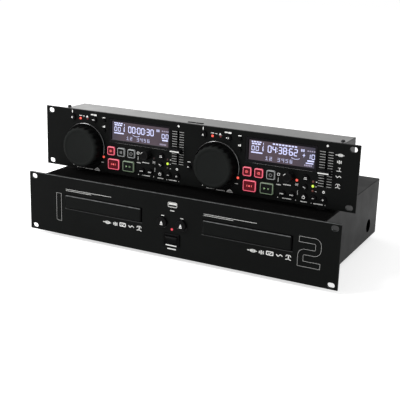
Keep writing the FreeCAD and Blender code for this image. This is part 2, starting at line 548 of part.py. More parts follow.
def jog_bezel(deck):
    """Flat ring round the jog wheel with a raised lip, notched for a lamp and cut off at its foot."""
    x = deck + JOG_X
    flat = JOG_BEZEL_PROUD - 0.8
    ring = turned([(JOG_BEZEL_IN, 0), (JOG_BEZEL_OUT, 0), (JOG_BEZEL_OUT, -JOG_BEZEL_PROUD + 0.3),
                   (JOG_BEZEL_OUT - 0.3, -JOG_BEZEL_PROUD), (JOG_BEZEL_OUT - 0.8, -JOG_BEZEL_PROUD),
                   (JOG_BEZEL_OUT - 1.3, -flat), (JOG_BEZEL_IN + 0.3, -flat),
                   (JOG_BEZEL_IN, -flat + 0.3)], x, JOG_Z)
    lamp_x, lamp_z = DECK_LAMPS[2]
    foot = block(x - JOG_BEZEL_OUT, x + JOG_BEZEL_OUT, -JOG_BEZEL_PROUD - 1, 1, 0, JOG_BEZEL_LOW)
    return ring.cut([rod_y(deck + lamp_x, lamp_z, 2.5, -4, 1), foot])


def controller_panel():
    """Upper front panel with every opening of both decks, and the two bezel rings."""
    cuts = [rod_y(RELAY_X, RELAY_Z, RELAY_R + 0.5, -1, 4)]
    for deck in deck_centres().values():
        cuts.append(rod_y(deck + JOG_X, JOG_Z, 3.4, -1, 4))
        cuts.append(tablet(deck + DISPLAY_X, DISPLAY_Z, DISPLAY_W + 0.6, DISPLAY_H + 0.6, 1.6, -1, 4))
        cuts.append(tablet(deck + SLIDER_X, (SLIDER_SLOT_LOW + SLIDER_SLOT_TOP) / 2, SLIDER_SLOT_W,
                           SLIDER_SLOT_TOP - SLIDER_SLOT_LOW, SLIDER_SLOT_W / 2 - 0.01, -1, 4))
        cuts.append(rod_y(deck + KNOB_X, KNOB_Z, 3.4, -1, 4))
        for x, z, radius in ROUND_BUTTONS.values():
            cuts.append(rod_y(deck + x, z, radius + 0.5, -1, 4))
        for x, z, width, height in LIT_KEYS.values():
            cuts.append(tablet(deck + x, z, width + 0.8, height + 0.8, KEY_CORNER + 0.4, -1, 4))
        for x, z in DECK_LAMPS:
            cuts.append(rod_y(deck + x, z, LAMP_HOLE_R, -1, 4))
    bezels = [jog_bezel(deck) for deck in deck_centres().values()]
    return [rack_plate().cut(cuts)] + bezels


def controller_chassis():
    """Shallow box open to the front, with two small slots in the top and two jack holes."""
    outer = block(-BOX_HALF, BOX_HALF, PANEL_THICK, BOX_BACK, BOX_LOW, BOX_TOP)
    long_edges = []
    for edge in outer.Edges:
        if edge.BoundBox.YLength > 50 and edge.BoundBox.Center.z > BOX_TOP - 1:
            long_edges.append(edge)
    outer = outer.makeFillet(0.9, long_edges)
    inner = block(-BOX_HALF + SHEET, BOX_HALF - SHEET, 0, BOX_BACK - SHEET, BOX_LOW + SHEET, BOX_TOP - SHEET)
    cuts = [inner]
    for x in TOP_SLOTS_X:
        cuts.append(block(x - TOP_SLOT_HALF, x + TOP_SLOT_HALF, TOP_SLOT_Y[0], TOP_SLOT_Y[1],
                          BOX_TOP - 3, BOX_TOP + 1))
    for side in (-1, 1):
        cuts.append(rod_z(side * TOP_SCREW_X, TOP_SCREW_Y, SCREW_HOLE_R, BOX_TOP - 3, BOX_TOP + 1))
        cuts.append(rod_y(side * LINK_JACK_X, LINK_JACK_Z, LINK_HOLE_R, BOX_BACK - 3, BOX_BACK + 1))
        for z in WALL_SCREW_Z:
            cuts.append(rod_y(side * WALL_SCREW_X, z, SCREW_HOLE_R, BOX_BACK - 3, BOX_BACK + 1))
        for y in (PAD_FRONT, PAD_BACK):
            cuts.append(rod_z(side * PAD_X, y, SCREW_HOLE_R, BOX_LOW - 1, BOX_LOW + 3))
    return [outer.cut(cuts)]


def control_board():
    """Controller circuit board with switches, lamps, slider tracks, encoders and link jacks."""
    back = BOARD_Y + BOARD_THICK
    parts = [block(-CONTROL_BOARD_HALF, CONTROL_BOARD_HALF, BOARD_Y, back, CONTROL_BOARD_LOW,
                   CONTROL_BOARD_TOP)]
    places = [(RELAY_X, RELAY_Z)]
    for deck in deck_centres().values():
        places += [(deck + x, z) for x, z, _ in ROUND_BUTTONS.values()]
        places += [(deck + x, z) for x, z, _, _ in LIT_KEYS.values()]
        parts += [rod_y(deck + x, z, LAMP_R, 1.0, BOARD_Y) for x, z in DECK_LAMPS]
        parts.append(block(deck + SLIDER_X - 4.5, deck + SLIDER_X + 4.5, SWITCH_Y, BOARD_Y,
                           SLIDER_SLOT_LOW - 5, SLIDER_SLOT_TOP + 5))
        parts.append(block(deck + JOG_X - 7, deck + JOG_X + 7, SWITCH_Y, BOARD_Y, JOG_Z - 7, JOG_Z + 7))
        parts.append(block(deck + KNOB_X - 6, deck + KNOB_X + 6, SWITCH_Y, BOARD_Y, KNOB_Z - 6, KNOB_Z + 6))
        parts.append(block(deck - 12, deck + 12, back, back + 3, 30.0, 54.0))
    parts += [block(x - 2.4, x + 2.4, SWITCH_Y, BOARD_Y, z - 2.4, z + 2.4) for x, z in places]
    parts.append(block(-90, 90, 40.0, BOX_BACK - SHEET, 6.0, 7.6))
    for side in (-1, 1):
        parts.append(link_jack(side * LINK_JACK_X, LINK_JACK_Z, BOX_BACK))
        parts.append(block(side * LINK_JACK_X - 6, side * LINK_JACK_X + 6, 46.0, BOX_BACK - 9.2, 7.6, 30.0))
    return parts


def display_modules():
    """Two displays: a clear window set in the panel and the display cell behind it."""
    parts = []
    for deck in deck_centres().values():
        x = deck + DISPLAY_X
        parts.append(tablet(x, DISPLAY_Z, DISPLAY_W, DISPLAY_H, 1.4, 0.3, PANEL_THICK))
        parts.append(block(x - DISPLAY_W / 2 - 1, x + DISPLAY_W / 2 + 1, PANEL_THICK + 0.2, BOARD_Y - 1.0,
                           DISPLAY_Z - DISPLAY_H / 2 - 1.2, DISPLAY_Z + DISPLAY_H / 2 + 1.2))
    return parts


def controller_feet():
    """Four small rubber feet that stand on the lower unit's cover."""
    feet = []
    low = CASE_TOP + DRIVE_Z - CONTROL_Z
    for x in (-PAD_X, PAD_X):
        for y in (PAD_FRONT, PAD_BACK):
            foot = Part.makeCone(PAD_R - 0.8, PAD_R, BOX_LOW - low, Vec(x, y, low))
            hollow = rod_z(x, y, PAD_HOLLOW_R, low - 1, low + PAD_HOLLOW_DEEP)
            feet.append(foot.cut([hollow, rod_z(x, y, SCREW_HOLE_R, low - 1, BOX_LOW + 1)]))
    return feet


def controller_screws():
    """Two screws with washers on the top, four in the rear wall and one in each foot."""
    screws = []
    low = CASE_TOP + DRIVE_Z - CONTROL_Z
    for side in (-1, 1):
        x, y, seat = side * TOP_SCREW_X, TOP_SCREW_Y, BOX_TOP + WASHER_HIGH
        washer = rod_z(x, y, WASHER_R, BOX_TOP, seat).cut(rod_z(x, y, WASHER_BORE, BOX_TOP, seat))
        screws += [washer, screw(Vec(x, y, seat), Vec(0, 0, -1), 3.0, 2.4, 7.4)]
        for z in WALL_SCREW_Z:
            screws.append(screw(Vec(side * WALL_SCREW_X, BOX_BACK, z), Vec(0, -1, 0), 2.8, 1.8, 6.0))
        for y in (PAD_FRONT, PAD_BACK):
            screws.append(screw(Vec(side * PAD_X, y, low + PAD_HOLLOW_DEEP), Vec(0, 0, 1), 2.6, 1.6, 7.0))
    return screws


# ============================ upper unit: moving pieces ============================
def jog_wheel(deck):
    """Fluted jog wheel, hollow underneath, with a rimmed face and a shaft to its encoder."""
    x = deck + JOG_X
    body = turned([(0, -JOG_PROUD + 0.5), (JOG_FACE_R - 2.4, -JOG_PROUD + 0.5),
                   (JOG_FACE_R - 1.9, -JOG_PROUD), (JOG_FACE_R, -JOG_PROUD),
                   (JOG_FACE_R + 1.2, -JOG_PROUD + 0.5), (JOG_FACE_R + 1.9, -JOG_PROUD + 1.8),
                   (JOG_RIM_R, -JOG_PROUD + 4.5), (JOG_RIM_R, -1.0), (JOG_FACE_R - 1.6, -1.0),
                   (JOG_FACE_R - 1.6, -JOG_PROUD + 3.2), (6.0, -JOG_PROUD + 3.2), (6.0, -1.0),
                   (3.0, -1.0), (3.0, SWITCH_Y - 0.4), (0, SWITCH_Y - 0.4)], x, JOG_Z)
    flutes = []
    for k in range(JOG_FLUTES):
        angle = 2 * math.pi * k / JOG_FLUTES
        reach = JOG_RIM_R + 1.7
        flutes.append(rod_y(x + reach * math.cos(angle), JOG_Z + reach * math.sin(angle), 3.1,
                            -JOG_PROUD - 1, 0))
    return [body.cut(flutes)]


def pitch_slider(deck):
    """Slider cap with sloping sides and a raised middle line, on a flat stem and carriage."""
    x = deck + SLIDER_X
    half_w, half_h = SLIDER_CAP_W / 2, SLIDER_CAP_H / 2
    side = [(half_h, -1.0), (half_h, -3.0), (half_h - 1.1, -SLIDER_PROUD + 0.7),
            (half_h - 1.7, -SLIDER_PROUD), (0.8, -SLIDER_PROUD + 0.9), (-0.8, -SLIDER_PROUD + 0.9),
            (-half_h + 1.7, -SLIDER_PROUD), (-half_h + 1.1, -SLIDER_PROUD + 0.7), (-half_h, -3.0),
            (-half_h, -1.0)]
    points = [Vec(x - half_w, y, SLIDER_REST_Z + z) for z, y in side]
    cap = Part.Face(Part.makePolygon(points + points[:1])).extrude(Vec(SLIDER_CAP_W, 0, 0))
    line = block(x - half_w + 0.2, x + half_w - 0.2, -SLIDER_PROUD + 0.4, -SLIDER_PROUD + 1.5,
                 SLIDER_REST_Z - 0.5, SLIDER_REST_Z + 0.5)
    stem = block(x - 0.9, x + 0.9, -1.5, SWITCH_Y - 0.8, SLIDER_REST_Z - 2.0, SLIDER_REST_Z + 2.0)
    carriage = block(x - 3.5, x + 3.5, PANEL_THICK + 1, SWITCH_Y - 0.8, SLIDER_REST_Z - 3.5,
                     SLIDER_REST_Z + 3.5)
    return [cap.fuse([line, stem, carriage]).removeSplitter()]


def track_knob(deck):
    """Round encoder knob with a rimmed face and shallow grooves round its side."""
    x = deck + KNOB_X
    front = -KNOB_PROUD
    body = turned([(0, front + 0.4), (KNOB_R - 1.7, front + 0.4), (KNOB_R - 1.3, front),
                   (KNOB_R - 0.6, front), (KNOB_R, front + 0.6), (KNOB_R, -1.0), (3.0, -1.0),
                   (3.0, SWITCH_Y - 0.4), (0, SWITCH_Y - 0.4)], x, KNOB_Z)
    grooves = []
    for k in range(KNOB_GROOVES):
        angle = 2 * math.pi * k / KNOB_GROOVES
        reach = KNOB_R + 0.3
        grooves.append(rod_y(x + reach * math.cos(angle), KNOB_Z + reach * math.sin(angle), 0.6,
                             front + 2.0, -2.5))
    return [body.cut(grooves)]


def round_button(x, z, radius, proud=BUTTON_PROUD):
    """Round button: a cap through the panel, a flange that holds it in, and a stem."""
    cap = rounded_front(rod_y(x, z, radius, -proud, PANEL_THICK + 1.0), 0.5, -proud)
    flange = rod_y(x, z, radius + 1.1, PANEL_THICK + GAP, PANEL_THICK + 1.3)
    stem = rod_y(x, z, 1.4, PANEL_THICK, SWITCH_Y - 1.5)
    return [cap.fuse([flange, stem]).removeSplitter()]


def lit_key(x, z, width, height):
    """Rectangular lit key: a rounded cap with a sunk middle, a flange and a stem."""
    cap = tablet(x, z, width, height, KEY_CORNER, -KEY_PROUD, PANEL_THICK + 1.0)
    cap = rounded_front(cap, 0.6, -KEY_PROUD)
    sunk = tablet(x, z, width - 4.0, height - 4.0, KEY_CORNER - 1.2, -KEY_PROUD - 1, -KEY_PROUD + 0.4)
    flange = tablet(x, z, width + 2.0, height + 2.0, KEY_CORNER, PANEL_THICK + GAP, PANEL_THICK + 1.3)
    stem = rod_y(x, z, 2.0, PANEL_THICK, SWITCH_Y - 1.5)
    return [cap.cut(sunk).fuse([flange, stem]).removeSplitter()]


# ================================ all sub-parts ================================
os.makedirs("parts", exist_ok=True)
drive = Vec(DRIVE_X, DRIVE_Y, DRIVE_Z)
control = Vec(CONTROL_X, CONTROL_Y, CONTROL_Z)

save("drive_front_panel", drive_front_panel(), drive)
save("drive_chassis", drive_chassis(), drive)
save("drive_top_cover", drive_top_cover(), drive)
save("drive_feet", drive_feet(), drive)
save("drive_screws", drive_screws(), drive)
save("main_board", main_board(), drive)
save("power_supply", power_supply(), drive)
save("sockets", sockets(), drive)
save("power_rocker", power_rocker(), drive)
for number, side in ((1, -1), (2, 1)):
    save("disc_drive_%d" % number, loader(side * TRAY_X), drive)
    save("disc_tray_%d" % number, disc_tray(side * TRAY_X), drive)
    save("eject_button_%d" % number, eject_button(side), drive)

save("controller_panel", controller_panel(), control)
save("controller_chassis", controller_chassis(), control)
save("control_board", control_board(), control)
save("display_modules", display_modules(), control)
save("controller_feet", controller_feet(), control)
save("controller_screws", controller_screws(), control)
save("relay_button", round_button(RELAY_X, RELAY_Z, RELAY_R), control)
for number, deck in deck_centres().items():
    save("jog_wheel_%d" % number, jog_wheel(deck), control)
    save("pitch_slider_%d" % number, pitch_slider(deck), control)
    save("track_knob_%d" % number, track_knob(deck), control)
    for name, (x, z, radius) in ROUND_BUTTONS.items():
        save("%s_%d" % (name, number), round_button(deck + x, z, radius), control)
    for name, (x, z, width, height) in LIT_KEYS.items():
        save("%s_%d" % (name, number), lit_key(deck + x, z, width, height), control)
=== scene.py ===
import json
import math

import bpy
import numpy as np
from mathutils import Matrix, Vector


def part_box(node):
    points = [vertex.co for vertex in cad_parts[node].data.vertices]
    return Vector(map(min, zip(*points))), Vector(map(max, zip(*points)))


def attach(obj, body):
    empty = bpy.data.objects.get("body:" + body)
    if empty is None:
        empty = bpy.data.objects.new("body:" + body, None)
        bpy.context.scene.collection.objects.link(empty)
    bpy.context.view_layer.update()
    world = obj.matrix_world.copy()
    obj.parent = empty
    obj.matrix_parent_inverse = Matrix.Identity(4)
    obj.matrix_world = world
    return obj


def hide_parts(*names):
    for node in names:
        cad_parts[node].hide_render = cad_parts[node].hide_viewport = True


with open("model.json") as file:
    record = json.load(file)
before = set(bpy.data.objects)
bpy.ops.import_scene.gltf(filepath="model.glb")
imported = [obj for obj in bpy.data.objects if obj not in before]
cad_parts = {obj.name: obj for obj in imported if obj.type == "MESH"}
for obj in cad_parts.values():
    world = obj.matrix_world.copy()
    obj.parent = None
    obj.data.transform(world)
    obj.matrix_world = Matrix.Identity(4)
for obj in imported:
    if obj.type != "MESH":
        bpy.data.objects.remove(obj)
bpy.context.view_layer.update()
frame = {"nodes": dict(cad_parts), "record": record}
scene = bpy.context.scene

# ------------------------ studio
# A white room for product pictures: a camera on a tripod to the right of the unit, a pale
# floor, and three soft lamps. None of it belongs to the unit.
AIM = Vector((0.041, -0.129, 0.094124))
AZIMUTH, ELEVATION, ROLL = (math.radians(angle) for angle in (26.8932, 16.1893, 1.7358))
CAMERA_DISTANCE, LENS = 1.14519, 77.1

back = Vector((math.sin(AZIMUTH) * math.cos(ELEVATION), -math.cos(AZIMUTH) * math.cos(ELEVATION),
               math.sin(ELEVATION)))
level = Vector((math.cos(AZIMUTH), math.sin(AZIMUTH), 0))
upright = back.cross(level)
right = level * math.cos(ROLL) + upright * math.sin(ROLL)
up = upright * math.cos(ROLL) - level * math.sin(ROLL)
camera = bpy.data.objects.new("camera", bpy.data.cameras.new("camera"))
camera.data.lens = LENS
camera.data.clip_start, camera.data.clip_end = 0.05, 50
camera.matrix_world = Matrix.Translation(AIM + back * CAMERA_DISTANCE) @ Matrix(
    (right, up, back)).transposed().to_4x4()
scene.collection.objects.link(camera)
scene.camera = camera
scene.view_settings.view_transform = "Standard"


def feed(tree, node, inputs):
    """Sets a node's inputs to numbers or joins them to other sockets."""
    for key, value in inputs.items():
        if isinstance(value, bpy.types.NodeSocket):
            tree.links.new(value, node.inputs[key])
        else:
            node.inputs[key].default_value = value


def add_node(tree, kind, inputs=None, **settings):
    """A new shader node with those settings and inputs."""
    node = tree.nodes.new("ShaderNode" + kind)
    for key, value in settings.items():
        setattr(node, key, value)
    feed(tree, node, inputs or {})
    return node


def maths(tree, operation, first, *others):
    """Numbers or sockets joined one after another by Math nodes of one operation."""
    for other in others:
        first = add_node(tree, "Math", {0: first, 1: other}, operation=operation).outputs[0]
    return first


def fit(tree, value, low=0.0, high=1.0, start=0.0, end=1.0):
    """A value taken from low..high to start..end and held at the ends."""
    return add_node(tree, "MapRange", {"Value": value, "From Min": low, "From Max": high,
                                       "To Min": start, "To Max": end}).outputs[0]


def seen_directly(tree):
    """1 for rays that show the room as a background: straight to the camera, mirrored or through glass."""
    rays = add_node(tree, "LightPath").outputs
    return maths(tree, "MAXIMUM", rays["Is Camera Ray"], rays["Is Glossy Ray"], rays["Is Transmission Ray"])


ROOM_LIGHT = 0.42
world = bpy.data.worlds.new("room")
scene.world = world
world.use_nodes = True
tree = world.node_tree
feed(tree, tree.nodes["Background"], {"Color": (1, 1, 1, 1),
                                      "Strength": fit(tree, seen_directly(tree), start=ROOM_LIGHT)})

FLOOR_HALF, FLOOR_CELLS, FLOOR_WHITE, FLOOR_GLOW = 6.0, 12, 0.85, 0.66
span = np.linspace(-FLOOR_HALF, FLOOR_HALF, FLOOR_CELLS + 1)
floor_x, floor_y = np.meshgrid(span, span)
floor_points = np.stack([floor_x, floor_y, np.zeros_like(floor_x)], -1).reshape(-1, 3)
cells = np.arange(FLOOR_CELLS)
corners = (cells[:, None] * (FLOOR_CELLS + 1) + cells).reshape(-1, 1)
corners = corners + [0, 1, FLOOR_CELLS + 2, FLOOR_CELLS + 1]
floor_mesh = bpy.data.meshes.new("floor")
floor_mesh.from_pydata(floor_points, [], corners.tolist())
floor = bpy.data.objects.new("floor", floor_mesh)
scene.collection.objects.link(floor)
floor_paint = bpy.data.materials.new("floor")
floor_paint.use_nodes = True
tree = floor_paint.node_tree
feed(tree, tree.nodes["Principled BSDF"], {
    "Base Color": (FLOOR_WHITE,) * 3 + (1,), "Roughness": 0.9, "Specular IOR Level": 0.0,
    "Emission Color": (1, 1, 1, 1),
    "Emission Strength": maths(tree, "MULTIPLY", seen_directly(tree), FLOOR_GLOW)})
floor_mesh.materials.append(floor_paint)

LAMPS_AIM = Vector((0, 0, 0.09))
for name, place, size, power in (("key lamp", (-1.2, -1.0, 1.4), 1.1, 36.0),
                                 ("fill lamp", (1.5, -0.9, 0.7), 1.2, 2.0),
                                 ("top lamp", (-1.1, 0.9, 0.9), 1.1, 3.2)):
    lamp = bpy.data.lights.new(name, "AREA")
    lamp.shape = "DISK"
    lamp.size, lamp.energy = size, power
    holder = bpy.data.objects.new(name, lamp)
    holder.location = place
    holder.rotation_euler = (LAMPS_AIM - Vector(place)).to_track_quat("-Z", "Y").to_euler()
    holder.visible_camera = False
    scene.collection.objects.link(holder)

# ------------------------ lower casing
# A folded cover over a folded base plate with the rear wall, all of steel sheet with a
# fine-textured black powder coat. Screws through the rear wall hold the two together.

# Each unit is worked out in millimetres of its own frame, whose origin is the middle of the lower
# edge of its panel's face. The upper panel's jog rings stand 2 mm proud of its face.
low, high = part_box("drive_front_panel")
DRIVE = np.array([(low.x + high.x) / 2, low.y, low.z])
low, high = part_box("controller_panel")
RINGS_PROUD = 0.002
CONTROL = np.array([(low.x + high.x) / 2, low.y + RINGS_PROUD, low.z])


def object_place(tree, axis=None):
    """The object's own coordinates, or the one along that axis."""
    place = add_node(tree, "TexCoord").outputs["Object"]
    return place if axis is None else add_node(tree, "SeparateXYZ", {0: place}).outputs[axis]


def noise(tree, place, scale, detail, roughness=0.5):
    """Smooth noise with that many grains a metre."""
    return add_node(tree, "TexNoise", {"Vector": place, "Scale": scale, "Detail": detail,
                                       "Roughness": roughness}).outputs["Fac"]


def mix(tree, factor, first, second):
    """A colour between two, each a socket or three numbers."""
    first, second = (tone if isinstance(tone, bpy.types.NodeSocket) else (*tone, 1)
                     for tone in (first, second))
    return add_node(tree, "Mix", {0: factor, 6: first, 7: second}, data_type="RGBA").outputs[2]


def vector_maths(tree, operation, first, second=(0, 0, 0)):
    """The vector that a Vector Math node gives."""
    return add_node(tree, "VectorMath", {0: first, 1: second}, operation=operation).outputs[0]


def node_group(name, inputs, outputs):
    """An empty node group with those sockets: (name, type, value) for inputs, names for outputs."""
    group = bpy.data.node_groups.new(name, "ShaderNodeTree")
    for socket, kind, value in inputs:
        made = group.interface.new_socket(socket, in_out="INPUT", socket_type="NodeSocket" + kind)
        if value is not None:
            made.default_value = value
    for socket in outputs:
        group.interface.new_socket(socket, in_out="OUTPUT", socket_type="NodeSocketFloat")
    return group, group.nodes.new("NodeGroupInput").outputs, group.nodes.new("NodeGroupOutput")


# Coat grain: Height is fine noise with that many grains a metre, and Cloud drifts slowly from
# 0 to 1 over a few centimetres.
coat_grain, given, made = node_group("coat grain", [("Vector", "Vector", None),
                                                    ("Grains", "Float", 2500.0)], ["Height", "Cloud"])
feed(coat_grain, made, {
    "Height": noise(coat_grain, given["Vector"], given["Grains"], 2.0, 0.6),
    "Cloud": fit(coat_grain, noise(coat_grain, given["Vector"], 28.0, 4.0, 0.55), 0.3, 0.7)})

# Edge wear and highlight: Rub and highlight is 1 where the surface turns sharply within Reach metres, and
# over bevels too if
# Bevels is 1: those faces lie off all three axes. Noise breaks it up, and it is weaker on edges
# that face down: that part is a painted highlight on the edges that light from above falls on.
edge_wear_and_highlight, given, made = node_group("edge wear and highlight", [("Vector", "Vector", None), ("Reach", "Float", 0.0006),
                                                  ("Bevels", "Float", 0.0)], ["Rub and highlight"])
soft = add_node(edge_wear_and_highlight, "Bevel", {"Radius": given["Reach"]}, samples=6).outputs[0]
straight = add_node(edge_wear_and_highlight, "NewGeometry").outputs["Normal"]
turned = add_node(edge_wear_and_highlight, "VectorMath", {0: soft, 1: straight}, operation="DOT_PRODUCT").outputs["Value"]
sides = add_node(edge_wear_and_highlight, "SeparateXYZ", {0: vector_maths(edge_wear_and_highlight, "ABSOLUTE", straight)}).outputs
slant = fit(edge_wear_and_highlight, maths(edge_wear_and_highlight, "MAXIMUM", *sides), 0.9, 0.8)
slant = maths(edge_wear_and_highlight, "MULTIPLY", slant, given["Bevels"])
sharp = maths(edge_wear_and_highlight, "MAXIMUM", fit(edge_wear_and_highlight, turned, 0.995, 0.93), slant)
# Edges that face up are made lighter: a painted highlight of the light from above.
lit_from_above = fit(edge_wear_and_highlight, add_node(edge_wear_and_highlight, "SeparateXYZ", {0: soft}).outputs[2], 0.0, 0.4, 0.12)
broken = fit(edge_wear_and_highlight, noise(edge_wear_and_highlight, given["Vector"], 160.0, 3.0), 0.35, 0.62, 0.6)
feed(edge_wear_and_highlight, made, {"Rub and highlight": maths(edge_wear_and_highlight, "MULTIPLY", sharp, broken, lit_from_above)})


def finish(name, colour, roughness, grains, depth, tint=0.12, drift=0.05, worn=None, reach=0.0006,
           bevels=0.0, specular=0.5, metallic=0.0):
    """A coated, moulded or plated finish: its colour drifts by tint and its roughness by drift over
    centimetres, grains stand depth millimetres high, and edges take the colour for wear and highlight, if
    there is one, over their reach in metres: it is real wear, and on edges that face up a painted highlight
    as well."""
    material = bpy.data.materials.new(name)
    material.use_nodes = True
    tree = material.node_tree
    place = object_place(tree)
    grain = add_node(tree, "Group", {"Vector": place, "Grains": grains}, node_tree=coat_grain).outputs
    mixed = mix(tree, grain["Cloud"], *([min(1.0, channel * k) for channel in colour]
                                        for k in (1 - tint, 1 + tint)))
    if worn:
        mask = add_node(tree, "Group", {"Vector": place, "Reach": reach, "Bevels": bevels},
                        node_tree=edge_wear_and_highlight).outputs["Rub and highlight"]
        mixed = mix(tree, mask, mixed, worn)
    bump = add_node(tree, "Bump", {"Height": grain["Height"], "Strength": 1.0, "Distance": depth / 1000})
    feed(tree, tree.nodes["Principled BSDF"], {
        "Base Color": mixed, "Normal": bump.outputs[0], "Specular IOR Level": specular, "Metallic": metallic,
        "Roughness": fit(tree, grain["Cloud"], 0.0, 1.0, roughness - drift, roughness + drift)})
    return material


def coat(material, *nodes):
    """Gives CAD nodes that material."""
    for node in nodes:
        mesh = frame["nodes"][node].data
        mesh.materials.clear()
        mesh.materials.append(material)


def tinge(material, socket, mask, colour):
    """Where the mask is 1, that colour takes the place of what reaches the shader's socket."""
    tree = material.node_tree
    socket = tree.nodes["Principled BSDF"].inputs[socket]
    tree.links.new(mix(tree, mask, socket.links[0].from_socket, colour), socket)


def within(tree, unit, low, high):
    """1 inside the box from low to high, in millimetres of that unit's frame, and 0 outside."""
    low, high = np.array(low), np.array(high)
    away = vector_maths(tree, "SUBTRACT", object_place(tree), unit + (low + high) / 2000)
    over = vector_maths(tree, "SUBTRACT", vector_maths(tree, "ABSOLUTE", away), (high - low) / 2000)
    most = maths(tree, "MAXIMUM", *add_node(tree, "SeparateXYZ", {0: over}).outputs)
    return maths(tree, "LESS_THAN", most, 0.0)


casing_paint = finish("casing paint", (0.002, 0.0021, 0.0023), 0.4, 2200, 0.012, 0.14, 0.04,
                      specular=0.034)
coat(casing_paint, "drive_chassis", "drive_top_cover")

# The coat has a faint sheen. On the top before and under the controller it is painted darker and
# made fully rough, as painted shade under the controller: the sheen comes back over the controller's depth.
tree = casing_paint.node_tree
fade = fit(tree, object_place(tree, 1), DRIVE[1] + 0.115, DRIVE[1] + 0.045)
# Painted shade: the cover's top darkened where the controller shades it.
painted_shade_under_controller = maths(tree, "MULTIPLY", within(tree, DRIVE, (-225, -1, 84), (225, 130, 91)), fade)
tinge(casing_paint, "Base Color", painted_shade_under_controller, (0.001, 0.001, 0.001))
rough = tree.nodes["Principled BSDF"].inputs["Roughness"]
tree.links.new(fit(tree, painted_shade_under_controller, start=rough.links[0].from_socket), rough)

# ------------------------ feet
# Moulded rubber feet: four under the lower casing and four small ones that carry the
# controller, each held by a screw up through its hollow.
rubber = finish("foot rubber", (0.012, 0.012, 0.012), 0.75, 1400, 0.03, specular=0.2)
coat(rubber, "drive_feet", "controller_feet")

# ------------------------ screws
# Blackened pan-head machine screws with a cross recess, in the feet, the rear walls and the
# controller's top.


def loft(rings, round_again=False):
    """A closed skin over a stack of rings: point k of each ring is joined to point k of the next by
    four-sided faces. The end rings are closed by flat faces, or joined to each other if round_again.
    The skin's volume, the sum of its corner triples over six, says whether it has to be turned."""
    rings = np.asarray(rings, float)
    index = np.arange(rings.shape[0] * rings.shape[1]).reshape(rings.shape[:2])
    if round_again:
        index = np.vstack([index, index[:1]])
    near, far = index[:-1], index[1:]
    quads = np.stack([near, np.roll(near, -1, 1), np.roll(far, -1, 1), far], -1).reshape(-1, 4)
    points = rings.reshape(-1, 3)
    a, b, c, d = (points[quads[:, k]] for k in range(4))
    volume = (a * np.cross(b, c)).sum() + (a * np.cross(c, d)).sum()
    faces = quads.tolist()
    if not round_again:
        for ring in (index[0][::-1], index[-1]):
            volume += (points[ring[0]] * np.cross(points[ring[1:-1]], points[ring[2:]])).sum()
            faces.append(ring.tolist())
    if volume < 0:
        faces = [face[::-1] for face in faces]
    return points, faces


def moved(skins, x=0.0, y=0.0, z=0.0, size=1.0):
    """Skins enlarged in x and z, then moved."""
    return [(points * (size, 1, size) + (x, y, z), faces) for points, faces in skins]


def put(name, skins, material, body="controller_unit", sharp=35):
    """One object made of closed skins in its unit's millimetres. It rides on that body, which is the
    controller if none is said."""
    points, faces, start = [], [], 0
    for skin_points, skin_faces in skins:
        points.append(skin_points)
        faces += [[start + k for k in face] for face in skin_faces]
        start += len(skin_points)
    origin = DRIVE if body.startswith(("drive", "eject")) else CONTROL
    mesh = bpy.data.meshes.new(name)
    mesh.from_pydata(np.vstack(points) * 0.001 + origin, [], faces)
    mesh.polygons.foreach_set("use_smooth", np.ones(len(faces), bool))
    mesh.set_sharp_from_angle(angle=math.radians(sharp))
    mesh.materials.append(material)
    piece = bpy.data.objects.new(name, mesh)
    scene.collection.objects.link(piece)
    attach(piece, body)
    return piece


def turns(sides):
    """Angles evenly round a circle."""
    return np.linspace(0, 2 * np.pi, sides, endpoint=False)


SCREW_SIDES = 48


def cross_screw(place, outwards, head_r, head_high, shank):
    """A pan head and its shank, turned about an axis: the head's height is h(1 - (r / R)^6) and the
    cross sinks it by up to 60 % where |u| or |v| is within half a slot and the other within an arm."""
    radius = head_r * np.concatenate([np.linspace(0.04, 0.62, 14), np.linspace(0.7, 0.99, 6)])
    r, t = np.meshgrid(radius, turns(SCREW_SIDES), indexing="ij")
    u, v = np.abs(r * np.cos(t)), np.abs(r * np.sin(t))
    slot = np.clip((0.17 * head_r - np.minimum(u, v)) / (0.05 * head_r), 0, 1)
    slot *= np.clip((0.58 * head_r - np.maximum(u, v)) / (0.08 * head_r), 0, 1)
    high = head_high * (1 - (r / head_r) ** 6) - 0.6 * head_high * slot
    head = np.stack([r * np.cos(t), r * np.sin(t), high], -1)
    radius = np.array([[head_r], [head_r * 0.45], [head_r * 0.45]])
    below = np.array([[-0.02], [-0.02], [-shank]])
    shaft = np.stack([radius * np.cos(t[:3]), radius * np.sin(t[:3]), below + 0 * t[:3]], -1)
    outwards = np.array(outwards, float)
    side = np.cross(outwards, (1.0, 0, 0) if abs(outwards[0]) < 0.5 else (0, 0, 1.0))
    points, faces = loft(np.concatenate([head, shaft]))
    return points @ np.stack([side, np.cross(outwards, side), outwards]) + place, faces


DOWN, REARWARDS, UPWARDS = (0, 0, -1), (0, 1, 0), (0, 0, 1)
TOP_SCREWS, TOP_SCREW_Y, TOP = (-212.4, 212.4), 18, 85.3    # TOP is the controller's upper face
WASHER = 1.4                # the washers' thickness
screw_steel = finish("screw steel", (0.01, 0.01, 0.011), 0.35, 2600, 0.006, 0.15, 0.08,
                     worn=(0.12, 0.12, 0.12), metallic=0.8)
drive_screws = [cross_screw((x, y, -0.5), DOWN, 3.4, 2.2, 8) for x in (-182, 182) for y in (30, 226)]
drive_screws += [cross_screw((x, 255, 80.6), REARWARDS, 3.0, 1.8, 6) for x in np.linspace(-195, 195, 5)]
control_screws = [cross_screw((x, TOP_SCREW_Y, TOP + WASHER), UPWARDS, 3.0, 2.4, 7) for x in TOP_SCREWS]
control_screws += [cross_screw((x, 61, z), REARWARDS, 2.8, 1.8, 6) for x in (-200, 200) for z in (12, 76)]
